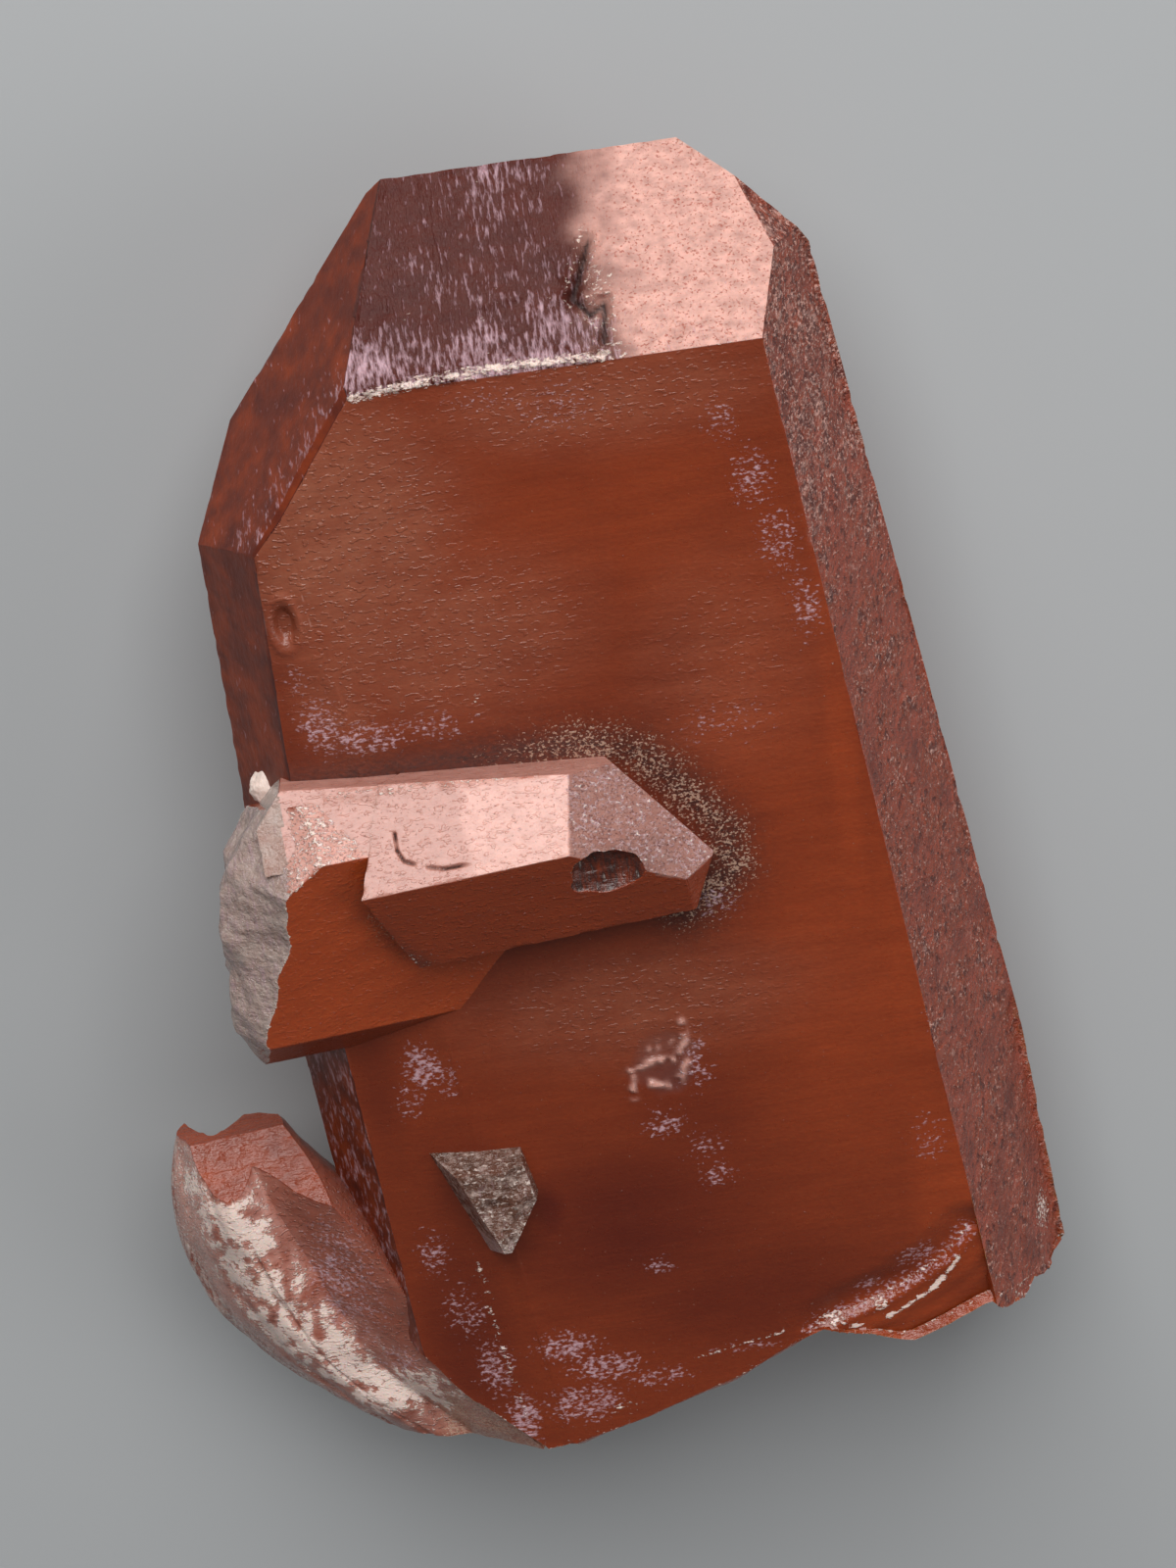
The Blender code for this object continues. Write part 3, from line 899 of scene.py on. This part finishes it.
def chalky_quartz(colours):
    """A loose-grained white chip, matt and cream."""
    face = Finish(CHALKY_QUARTZ, colours.crumb, 0.5)
    face.roughen_with(face.texture("mottle"), 0.2)
    face.tint("deep", colours.gold, 1.0, "mottle", 3.0)
    face.relief("grain", 0.15)
    face.quartz(soft=0.3, spread=(1.0, 0.9, 0.8))


MAKERS = (grown_quartz, sugary_quartz, etched_quartz, broken_quartz, smoky_quartz, chalky_quartz)


def base_height(x, y):
    """The base's break, seen from the base: x across it and y up through it."""
    front = THICKNESS / 2 - y
    break_y = np.interp(x, *zip(*BASE_LINE)) + BASE_LEAN * front
    left, right, width = BASE_BEVEL
    if left < x < right:
        break_y += 0.8 * max(0.0, width - front) - 1.2
    return -break_y + broken_relief(x, y, 1.3) * min(1.0, 0.35 + front / 6)


def in_scar(points):
    """1 in the etched scar on the front face, and 0 outside its ragged rim."""
    scar_x, scar_y, wide, long = SCAR
    across, along = points[:, 0] - scar_x, points[:, 1] - scar_y
    uneven = 1 + 0.9 * lumps(points, 1.1, seed=4)
    reach = ((across - 0.1 * along) / wide) ** 2 + (along / long) ** 2
    return 1 - soft_step(reach * uneven, 0.1, 1.4)


def scar_ledges(points):
    """1 along the small bright ledges in the scar."""
    near = np.max([near_line(points, ledge, 0.2) for ledge in SCAR_LEDGES], axis=0)
    return np.clip(near * ragged(points, 0.45, 24), 0, 1)


def front_relief(points, sizes):
    """The front face: slow ripples, a low step, a seam, the etched scar, a droplet-shaped
    pit, and a clam-shell break at the lower right."""
    x, y = points[:, 0], points[:, 1]
    height = 0.018 * lumps(points, 1.0, (9, 0.8, 1)) + 0.012 * lumps(points, 0.55, (4, 1, 1), 1)
    upper_left = patches(points, HAZE_ON_FRONT[:2])
    height += 0.03 * upper_left * lumps(points, 0.55, (1.8, 1, 1), 2)
    step_y = 8.0 - 0.05 * x + 0.35 * lumps(points, 5.0, (1, 40, 1), 3)
    height -= 0.05 * soft_step(step_y - y, -0.3, 0.3)
    seam = np.abs(x - (1.4 + 0.13 * (y - 11.1)))
    height += 0.025 * np.exp(-(seam / 0.35) ** 2) * soft_step(y, 9, 13)

    height += sizes.scar / MM * (1.6 * scar_ledges(points) - in_scar(points))

    pit_x, pit_y, wide, long = DROPLET_PIT
    inside = np.sqrt(((x - pit_x) / wide) ** 2 + ((y - pit_y) / long) ** 2)
    height -= 0.42 * (1 - soft_step(inside, 0.5, 1.05))
    height += 0.10 * np.exp(-((inside - 1.35) / 0.25) ** 2)

    arc_x, arc_y = zip(*SHELL_ARC)
    past = np.where(y < np.interp(x, arc_x, arc_y), 1, -1) * from_line(points, SHELL_ARC)
    reach = soft_step(x, arc_x[0] - 1.5, arc_x[0] + 1.5)
    dip = soft_step(past, -2.2, -0.2) * (1 - 0.85 * soft_step(past, -0.15, 0.55))
    height -= reach * (sizes.shell / MM * dip + 0.09 * np.clip(past, 0, 6) ** 1.4)
    height += reach * 0.03 * np.sin(past * 5.0 + lumps(points, 1.5, seed=17)) * (past > 0.6)
    return height


def tip_relief(points, sizes):
    """The tip's front face: etched grain down the slope, a crusty lip along its lower edge,
    and a curling crack."""
    x, y = points[:, 0], points[:, 1]
    rough = 1 - 0.85 * soft_step(x, TIP_ETCH_EDGE - 1, TIP_ETCH_EDGE + 1.5)
    height = 0.06 * rough * lumps(points, 0.55, (0.8, 3.5, 3.5))
    terraces = soft_step(lumps(points, 1.3, (0.8, 1.6, 1.6), 6), 0.0, 0.16)
    height -= 0.12 * rough * terraces * soft_step(y, 24.0, 25.0)
    crust = np.clip(0.45 + 1.5 * lumps(points, 0.45, (2.0, 0.7, 0.7), 7), 0, 1.4)
    height += sizes.lip / MM * crust * near_line(points, LIP_CRUST, 0.34)
    wander = from_line(points, TIP_CRACK) + 0.18 * lumps(points, 0.5, seed=8)
    height -= 0.38 * np.exp(-(wander / 0.26) ** 2)
    height += 0.14 * np.exp(-((wander - 0.5) / 0.2) ** 2)
    bump = np.hypot(x - 7.8, (y - 24.3) * 1.3)
    height += 0.22 * np.exp(-(bump / 0.4) ** 2)
    return height


def side_relief(points):
    """The sugary right side: fused grains, and low ledges across it."""
    y, z = points[:, 1], points[:, 2]
    height = 0.07 * lumps(points, 0.55, seed=9) + 0.06 * lumps(points, 1.8, (1, 1.6, 1), 10)
    bend = 0.8 * lumps(points, 4.0, seed=11)
    height -= 0.16 * soft_step(y + bend, 14.6, 15.0) * soft_step(13.0 - z, 0, 3)
    height -= 0.24 * (1 - soft_step(y + bend, -21.6, -21.2)) * soft_step(12.0 - z, 0, 3)
    return height - 0.08


def crowding(on):
    """How many crystal faces meet at each point: 1 inside a face, more on an edge, and none
    on a break."""
    return sum(face.astype(int) for face in on.values())


def worn_edges(points, height, on, nick):
    """Nick the crystal's edges a little, and leave what isn't a crystal face alone."""
    chips = np.clip(lumps(points, 0.9, seed=13), 0, 1) ** 1.5
    edge = crowding(on) > 1
    height[edge] = -nick / MM * (0.3 + 3 * chips[edge])
    height[crowding(on) == 0] = 0
    return height


def growth_lines(points):
    """The faint unevenness of the smaller crystals' faces."""
    return 0.02 * lumps(points, 0.9, (3, 1, 1), 14) - 0.01


def broad_parts(on):
    """The broad crystal's front, its tip's front face and its sugary right side."""
    return on_any(on, ("front", "front_strip")), on["tip_front"], on_any(on, SUGARY_FACES)


def paint_broad(piece, points, on):
    """Paint the broad crystal: its front face, its tip with the bare bright right part, and
    its sides."""
    x, y, z = points.T
    front, tip, right = broad_parts(on)

    def near(line, width):
        return near_line(points, line, width)

    band = from_line(points, DARK_BAND)
    crack_rim = near(TIP_CRACK, 0.6) * soft_step(from_line(points, TIP_CRACK), 0.2, 0.4)
    low_left = on["left_low"] | on["left"] & (y < -8)
    bare = x + 1.8 * lumps(points, 2.0, seed=18)
    bare = tip * soft_step(bare, TIP_ETCH_EDGE - 2.2, TIP_ETCH_EDGE + 1.8)
    patchy = lumps(points, 2.2, (1.4, 1, 1), 23)
    streaked = 0.68 - 0.28 * soft_step(y, 24.4, 27.0) + 0.24 * patchy
    streaked = np.where(tip, streaked - 0.3 * bare, 0.22)
    coarse = 0.14 * soft_step(y, 6, 17) + 0.13 * patchy
    haze = front * patches(points, HAZE_ON_FRONT)
    # Deep here includes a painted shadow beside the stub.
    deep = patches(points, DEEP_AND_SHADOW_ON_FRONT) + 0.7 * in_scar(points)
    dust = np.maximum(patches(points, DUST_ON_FRONT), 0.56 * near(SHELL_ARC, 0.8))
    paint(
        piece,
        deep=np.select([front, right], [deep, np.clip(0.3 - 0.6 * patchy, 0, 1)], 0.3),
        glow=np.select(
            [front, tip], [patches(points, GLOW_ON_FRONT), 0.1], np.clip(0.6 + 0.5 * patchy, 0, 1)
        ),
        haze=haze,
        # On the tip's bare right part a painted reflection of the key light; on the front a faint painted
        # pink sheen in the scar.
        blush=np.where(front, 0.06 * in_scar(points), 0.84 * bare),
        fleck=0.15,
        pores=0.34 * bare,
        grit=np.select([front, tip], [0.75 * np.exp(-(band / 1.45) ** 1.6), near(TIP_CRACK, 0.16)]),
        gold=front * 0.52 * np.exp(-(band / 1.7) ** 2) * soft_step(x, -9, 0),
        polish=front * near(SHELL_ARC, 0.9),
        dust=np.where(front, dust, 0.10 + 0.25 * low_left),
        peel=np.clip(haze * 1.2, 0, 1),
        # Painted pink highlights on the scar's ledges.
        scar=front * scar_ledges(points),
        etch=np.where(tip, 1 - 0.9 * bare, 0.25),
        frost=streaked + 0.3 * (near(TIP_BEVEL, 1.2) * on["tip_left"]) + 0.25 * low_left,
        # Painted shade in the sugary grains' hollows, and painted highlights on their tops.
        hollow=0.43 + coarse,
        sparkle=0.33 + coarse,
        crumb=np.maximum.reduce([
            (tip | front) * np.maximum(0.75 * near(LIP_CRUST, 0.32), 0.7 * crack_rim),
            tip * 0.46 * np.exp(-((bare - 0.4) / 0.35) ** 2) * soft_step(29.5 - y, 0, 3),
            # A painted shine along the right of the tip's lip.
            tip * 0.34 * near(LIP_SHINE, 0.15),
            front * 0.62 * near(SCRATCH, 0.12),
            # White along the clam-shell's rim: partly a frosted chipped edge, partly a painted highlight.
            front * 0.60 * near(SHELL_ARC, 0.13),
            front * 0.42 * near(STRIP_RIDGE, 0.3),
            # A painted glint inside the clam-shell break.
            front * near(SHELL_PAINTED_GLINT, 0.16) * ragged(points, 0.8, 25),
            front * patches(points, CRUMBS_ON_FRONT),
            (right & (z > 9)) * patches(points, CHIPS_ON_RIGHT),
            0.4 * on_rim(piece),
        ]),
    )


class QUARTZ_OT_broad_crystal(bpy.types.Operator):
    """Model the broad flattened crystal with its tip and its rough base"""

    bl_idname = "quartz.broad_crystal"
    bl_label = "Broad Crystal"

    def execute(self, context):
        sizes = context.scene.cluster_sizes
        piece = cut_crystal("broad_crystal", *BROAD)
        place = placed((0, 0, THICKNESS / 2), (1, 0, 0), (0, 0, 1), (0, -1, 0))
        cut_with(piece, break_tool(place, 62, 26, 0.42, RAW_HALF_SIZE, base_height))
        centres = face_places(piece)
        small = [from_line(centres, line) < width for line, width in FINE_LINES]
        refine(piece, np.any(small, axis=0) & (centres[:, 2] > THICKNESS - 4))

        points = places(piece)
        on = on_faces(points, *BROAD)
        front, tip, right = broad_parts(on)
        height = 0.025 * lumps(points, 1.2, (1, 3, 1), 12) - 0.02
        height[front] = front_relief(points[front], sizes)
        height[tip] = tip_relief(points[tip], sizes)
        height[right] = side_relief(points[right])
        height = worn_edges(points, height, on, sizes.edge_nick)
        foot = tip & on["front"]
        height[foot] = tip_relief(points[foot], sizes) * 0.6
        paint_broad(piece, points, on)
        on = on_faces(face_places(piece), *BROAD)
        give_slot(piece, SUGARY, on_any(on, SUGARY_FACES))
        give_slot(piece, ETCHED, on_any(on, ETCHED_FACES))
        raise_by(piece, height)
        hand_in(piece, GROWN_QUARTZ, BROKEN_QUARTZ, SUGARY_QUARTZ, ETCHED_QUARTZ)
        return {"FINISHED"}


class QUARTZ_OT_crossing_crystal(bpy.types.Operator):
    """Model the smaller crystal that lies across the front face, and its tail"""

    bl_idname = "quartz.crossing_crystal"
    bl_label = "Crossing Crystal"

    def execute(self, context):
        for name, crystal in (("crossing_crystal", CROSSING), ("crossing_tail", CROSSING_TAIL)):
            piece = cut_crystal(name, *crystal, step=1.8, cuts=8)
            if name == "crossing_crystal":
                *centre, size = CHIP_IN_RIDGE
                cut_with(piece, pebble("ridge_chip", centre, size, (1.35, 0.95, 0.65)))
            refine(piece, from_line(face_places(piece), CROSSING_CRACK) < 0.5)
            points = places(piece)
            on = on_faces(points, *crystal)
            chipped = crowding(on) == 0
            upper, back, tip = on["upper"], on["back"], on.get("tip_upper", chipped & False)
            crack = near_line(points, CROSSING_CRACK, 0.07) * ragged(points, 0.6, 26)
            chip_shade = patches(points, [(*CHIP_IN_RIDGE[:2], 3.2, 1.5, 1.0)])
            ridge = near_line(points, CROSSING_RIDGE, 0.25)
            left_end = near_line(points, CROSSING_LEFT, 0.6)
            height = growth_lines(points) + 0.05 * tip * lumps(points, 0.6, seed=15)
            height += upper * (0.10 * ridge * (1 + lumps(points, 0.5, seed=19)) - 0.2 * crack)
            height = worn_edges(points, height, on, context.scene.cluster_sizes.edge_nick)
            # bright: the upper face's right part, which gets more of the painted pink sheen.
            bright = soft_step(points[:, 0] + 0.5 * lumps(points, 0.8, seed=20), -7.0, -6.4)
            paint(
                piece,
                deep=np.select([chipped, upper | back | tip], [1.0, 0.1], 0.2),
                glow=0.35 * ~(upper | back | tip),
                # Blush here is a painted pink sheen on the faces turned toward the key light.
                blush=np.select([upper, tip, back], [0.62 + 0.27 * bright, 0.45, 0.5], 0.0),
                fleck=np.where(tip, 0.5, 0.12),
                pores=np.select([upper, tip], [0.24, 0.46], 0.1),
                grit=np.select(
                    [chipped, upper, tip], [0.75, 0.55 * crack, 0.2 + 0.3 * chip_shade], 0.55 * left_end
                ),
                gold=0.2 * left_end,
                dust=np.where(tip, 0.46, 0.14),
                peel=0.5,
                frost=0.3,
                crumb=np.maximum.reduce([
                    # White along the double ridge: partly crumbs, partly a painted highlight on its edges.
                    0.45 * ridge * upper, 0.3 * tip, 0.3 * left_end,
                    0.55 * on_rim(piece) * (points[:, 1] > CHIP_IN_RIDGE[1]),
                ]),
            )
            raise_by(piece, height)
            give_slot(piece, CLEAR, face_places(piece)[:, 0] < SPARKLING_EDGE)
            hand_in(piece, GROWN_QUARTZ, BROKEN_QUARTZ, SMOKY_QUARTZ)
        return {"FINISHED"}


def broken_end_height(x, y):
    """The side crystal's broken end, seen along its axis."""
    lean = 0.33 * max(y, 0) ** 1.45 + 0.35 * max(-y, 0)
    corners = 0.9 * max(-x - 4.2, 0) + 0.7 * max(x - 5.2, 0)
    return 4.6 - lean - corners + broken_relief(x + 9, y + 3, 0.65)


class QUARTZ_OT_broken_crystal(bpy.types.Operator):
    """Model the side crystal with its broken, clear end, and the white chip beside it"""

    bl_idname = "quartz.broken_crystal"
    bl_label = "Broken Side Crystal"

    def execute(self, context):
        piece = cut_crystal("broken_crystal", *SLANTING, step=1.8)
        right, forward, up = SLANTING[0]
        place = placed(BROKEN_CENTRE, right, up, -forward)
        cut_with(piece, break_tool(place, 22, 18, 0.3, 12, broken_end_height))
        points = places(piece)
        on = on_faces(points, *SLANTING)
        height = growth_lines(points) + 0.08 * on["sparkling"] * lumps(points, 0.5, seed=21)
        height = worn_edges(points, height, on, context.scene.cluster_sizes.edge_nick)
        broken = crowding(on) == 0
        sparkling = on["sparkling"] | broken & (points[:, 0] > SPARKLING_EDGE)
        paint(
            piece,
            deep=np.select([on["strip"], on["front"], broken], [0.5, 0.05, 0.2], 0.25),
            glow=np.where(on["front"], 0.95, 0.2),
            # Blush on the sparkling face is a painted pink sheen where it faces the key light.
            blush=np.select([sparkling, broken], [0.85, 0.3], 0.0),
            fleck=0.12,
            pores=0.4 * sparkling,
            gold=0.45 * near_line(points, CROSSING_LEFT, 0.4),
            dust=np.where(sparkling, 0.45, 0.10),
            peel=0.3,
            frost=0.56,
            crumb=np.maximum(np.where(sparkling, 0.45, 0.27 * broken), 0.6 * on_rim(piece)),
        )
        raise_by(piece, height)
        x, y, z = face_places(piece).T
        give_slot(piece, GROWN, (x > SPARKLING_EDGE) & (y > -3.5) & (z > THICKNESS), BROKEN)
        hand_in(piece, GROWN_QUARTZ, SMOKY_QUARTZ)

        *centre, size = WHITE_CHIP
        chip = pebble("white_chip", centre, size, (1.1, 1.05, 0.9))
        paint(chip, deep=0.1)
        hand_in(chip, CHALKY_QUARTZ)
        return {"FINISHED"}


def stub_height(x, y):
    """The stub's broken top, seen from above."""
    return 1.75 - 0.12 * x + broken_relief(x - 4, y + 11, 0.55)


class QUARTZ_OT_stub(bpy.types.Operator):
    """Model the clear broken stub on the front face"""

    bl_idname = "quartz.stub"
    bl_label = "Clear Stub"

    def execute(self, context):
        piece = cut_crystal("clear_stub", *STUB, step=1.0, cuts=4)
        place = placed(STUB_CENTRE, (1, 0, 0), (0, 1, 0), (0, 0, 1))
        cut_with(piece, break_tool(place, 9.6, 11.2, 0.2, 6, stub_height))
        points = places(piece)
        left = on_faces(points, *STUB)["left"]
        low = soft_step(-points[:, 1], 25.4, 26.6)
        paint(
            piece, deep=0.95 - 0.25 * left - 0.5 * low, frost=0.35 + 0.4 * low, blush=0.35,
            crumb=np.where(left, 0.1, 0.38) + 0.15 * low + 0.25 * on_rim(piece),
        )
        hand_in(piece, SMOKY_QUARTZ, SMOKY_QUARTZ)
        return {"FINISHED"}


def splinter_place(side, drop, depth):
    """A place in the splinter, in millimetres, from 0 to 1 across, down and into it."""
    low = between([Vector(point) for point in SPLINTER_OUTER], drop)
    high = between([Vector(point) for point in SPLINTER_INNER], drop)
    flat = low.lerp(high, side)
    front = between(SPLINTER_OUTER_HEIGHT, drop) * (1 - side)
    front += between(SPLINTER_INNER_HEIGHT, drop) * side
    front += 2.3 * math.sin(math.pi * min(side / 0.62, 1)) * (1 - 0.35 * drop)
    front += broken_relief(flat.x, flat.y, 0.7) * (0.5 + 0.5 * depth)
    # Low fissures run beside the outer edge.
    fissure = math.sin(side * 34 + 2.5 * noise.noise(Vector((drop * 5, side * 2, 0))))
    front -= 0.16 * max(fissure, 0) ** 2 * (side < 0.42)
    thick = between(SPLINTER_THICKNESS, drop) * (0.55 + 0.45 * math.sin(math.pi * side * 0.7))
    flat -= (high - low).normalized() * 0.9 * math.sin(math.pi * depth) * (0.5 - side)
    return Vector((flat.x, flat.y, front - thick * depth))


def on_top(points):
    """Which points lie on the splinter's flat top."""
    found = np.zeros(len(points), bool)
    for point, normal in SPLINTER_TOP:
        way = np.array(Vector(normal).normalized())
        found |= np.abs((points - np.array(point)) @ way) < ON_PLANE
    return found


class QUARTZ_OT_splinter(bpy.types.Operator):
    """Model the curved splinter beside the base"""

    bl_idname = "quartz.splinter"
    bl_label = "Splinter"

    def execute(self, context):
        only()
        bpy.ops.mesh.primitive_cube_add(size=1)
        piece = started("splinter")
        start_editing()
        bpy.ops.mesh.subdivide(number_cuts=63)
        mode("OBJECT")
        for vert in piece.data.vertices:
            side, drop, depth = vert.co.x + 0.5, 0.5 - vert.co.y, 0.5 - vert.co.z
            vert.co = splinter_place(side, drop, depth) * MM
        start_editing()
        for point, normal in SPLINTER_TOP:
            slice_at(point, Vector(normal), use_fill=True, clear_outer=True, threshold=0.001 * MM)
        finish_editing()

        points = places(piece)
        cap = on_top(points)
        uneven = 0.9 + 0.9 * lumps(points, 1.4, seed=22) + 1.5 * lumps(points, 0.6, seed=27)
        # The splinter's bright back: partly frost, partly a painted highlight.
        frost = np.clip(near_line(points, SPLINTER_FROST_AND_SHINE, 2.2) * uneven, 0, 1)
        ledge = soft_step(points[:, 0], -14.2, -12.8) * soft_step(-points[:, 1], 36.4, 37.6)
        outside = soft_step(from_line(points, SPLINTER_OUTER), 2.4, 0.6)
        paint(
            piece,
            deep=0.65 * cap,
            glow=np.where(cap, 0.5, 0.45),
            haze=~cap * np.maximum(0.9 * outside, ledge),
            blush=~cap * (0.7 * frost + 0.25 * outside + 0.16),
            fleck=0.2,
            pores=0.3 * frost * ~cap,
            polish=0.8 * outside * ~cap,
            gold=~cap * (0.25 * outside + patches(points, SPLINTER_CREAM) + 0.6 * ledge),
            dust=np.where(cap, 0.2, patches(points, SPLINTER_DUST)),
            peel=~cap,
            frost=np.where(cap, 0.1, 0.35 + 0.35 * outside),
            # The white here is partly crumbs and partly a painted highlight.
            crumb=np.where(cap, 0.1, np.maximum(0.98 * frost, 0.42 * outside)),
        )
        centres = face_places(piece)
        under = centres[:, 2] < np.interp(centres[:, 1], [-41, -20], [12.0, 9.0])
        give_slot(piece, BROKEN, under | on_top(centres))
        hand_in(piece, GROWN_QUARTZ, BROKEN_QUARTZ)
        return {"FINISHED"}


class QUARTZ_OT_surfaces(bpy.types.Operator):
    """Make the quartz's surfaces"""

    bl_idname = "quartz.surfaces"
    bl_label = "Surfaces"

    def execute(self, context):
        for maker in MAKERS:
            maker(context.scene.cluster_colours)
        return {"FINISHED"}


class QUARTZ_OT_stage(bpy.types.Operator):
    """Set the floor, the soft lights and the camera"""

    bl_idname = "quartz.stage"
    bl_label = "Stage"

    def execute(self, context):
        only()
        bpy.ops.mesh.primitive_plane_add(size=FLOOR_SIZE * MM, location=(0, 0, -FLOOR_GAP * MM))
        floor = started("floor")
        paper = bpy.data.materials.new("matt paper floor")
        paper.use_nodes = True
        shader = paper.node_tree.nodes["Principled BSDF"]
        shader.inputs["Base Color"].default_value = [*context.scene.cluster_colours.floor, 1]
        shader.inputs["Roughness"].default_value = 0.9
        floor.data.materials.append(paper)

        for name, way, distance, size, power in LIGHTS:
            way = Vector(way).normalized()
            bpy.ops.object.light_add(type="AREA", location=way * distance * MM)
            light = bpy.context.object
            light.name = name
            light.rotation_euler = way.to_track_quat("Z", "Y").to_euler()
            light.data.energy = power
            light.data.size = size * MM

        world = bpy.data.worlds.new("soft room")
        world.use_nodes = True
        world.node_tree.nodes["Background"].inputs["Color"].default_value = (*linear(ROOM), 1)
        context.scene.world = world

        tilt, roll = math.radians(CAMERA_TILT), math.radians(CAMERA_ROLL)
        back = Vector((0, math.sin(tilt), math.cos(tilt)))
        level_up = Vector((0, math.cos(tilt), -math.sin(tilt)))
        up = math.cos(roll) * level_up + math.sin(roll) * Vector((1, 0, 0))
        turn = Matrix((up.cross(back), up, back)).transposed()
        bpy.ops.object.camera_add(
            location=Vector((0, 0, THICKNESS)) * MM + back * CAMERA_DISTANCE * MM,
            rotation=turn.to_euler(),
        )
        camera = bpy.context.object
        camera.data.lens = CAMERA_LENS
        camera.data.clip_start = CAMERA_NEAR * MM
        context.scene.camera = camera
        context.scene.view_settings.view_transform = "Standard"
        return {"FINISHED"}


class QUARTZ_PT_cluster(bpy.types.Panel):
    """The cluster's pieces, sizes and colours"""

    bl_idname = "QUARTZ_PT_cluster"
    bl_label = "Quartz Crystal Cluster"
    bl_space_type = "VIEW_3D"
    bl_region_type = "UI"
    bl_category = "Quartz"

    def draw(self, context):
        for operator in OPERATORS:
            self.layout.operator(operator.bl_idname)
        for group in (context.scene.cluster_sizes, context.scene.cluster_colours):
            for name in group.__annotations__:
                self.layout.prop(group, name)


OPERATORS = (
    QUARTZ_OT_stage,
    QUARTZ_OT_surfaces,
    QUARTZ_OT_broad_crystal,
    QUARTZ_OT_crossing_crystal,
    QUARTZ_OT_broken_crystal,
    QUARTZ_OT_stub,
    QUARTZ_OT_splinter,
)
CLASSES = (ClusterColours, ClusterSizes, *OPERATORS, QUARTZ_PT_cluster)


def register():
    for item in CLASSES:
        bpy.utils.register_class(item)
    bpy.types.Scene.cluster_colours = PointerProperty(type=ClusterColours)
    bpy.types.Scene.cluster_sizes = PointerProperty(type=ClusterSizes)


def unregister():
    del bpy.types.Scene.cluster_sizes
    del bpy.types.Scene.cluster_colours
    for item in reversed(CLASSES):
        bpy.utils.unregister_class(item)


def main():
    register()
    bpy.ops.quartz.stage()
    bpy.ops.quartz.surfaces()
    bpy.ops.quartz.broad_crystal()
    bpy.ops.quartz.crossing_crystal()
    bpy.ops.quartz.broken_crystal()
    bpy.ops.quartz.stub()
    bpy.ops.quartz.splinter()
    only()


if __name__ == "__main__":
    main()
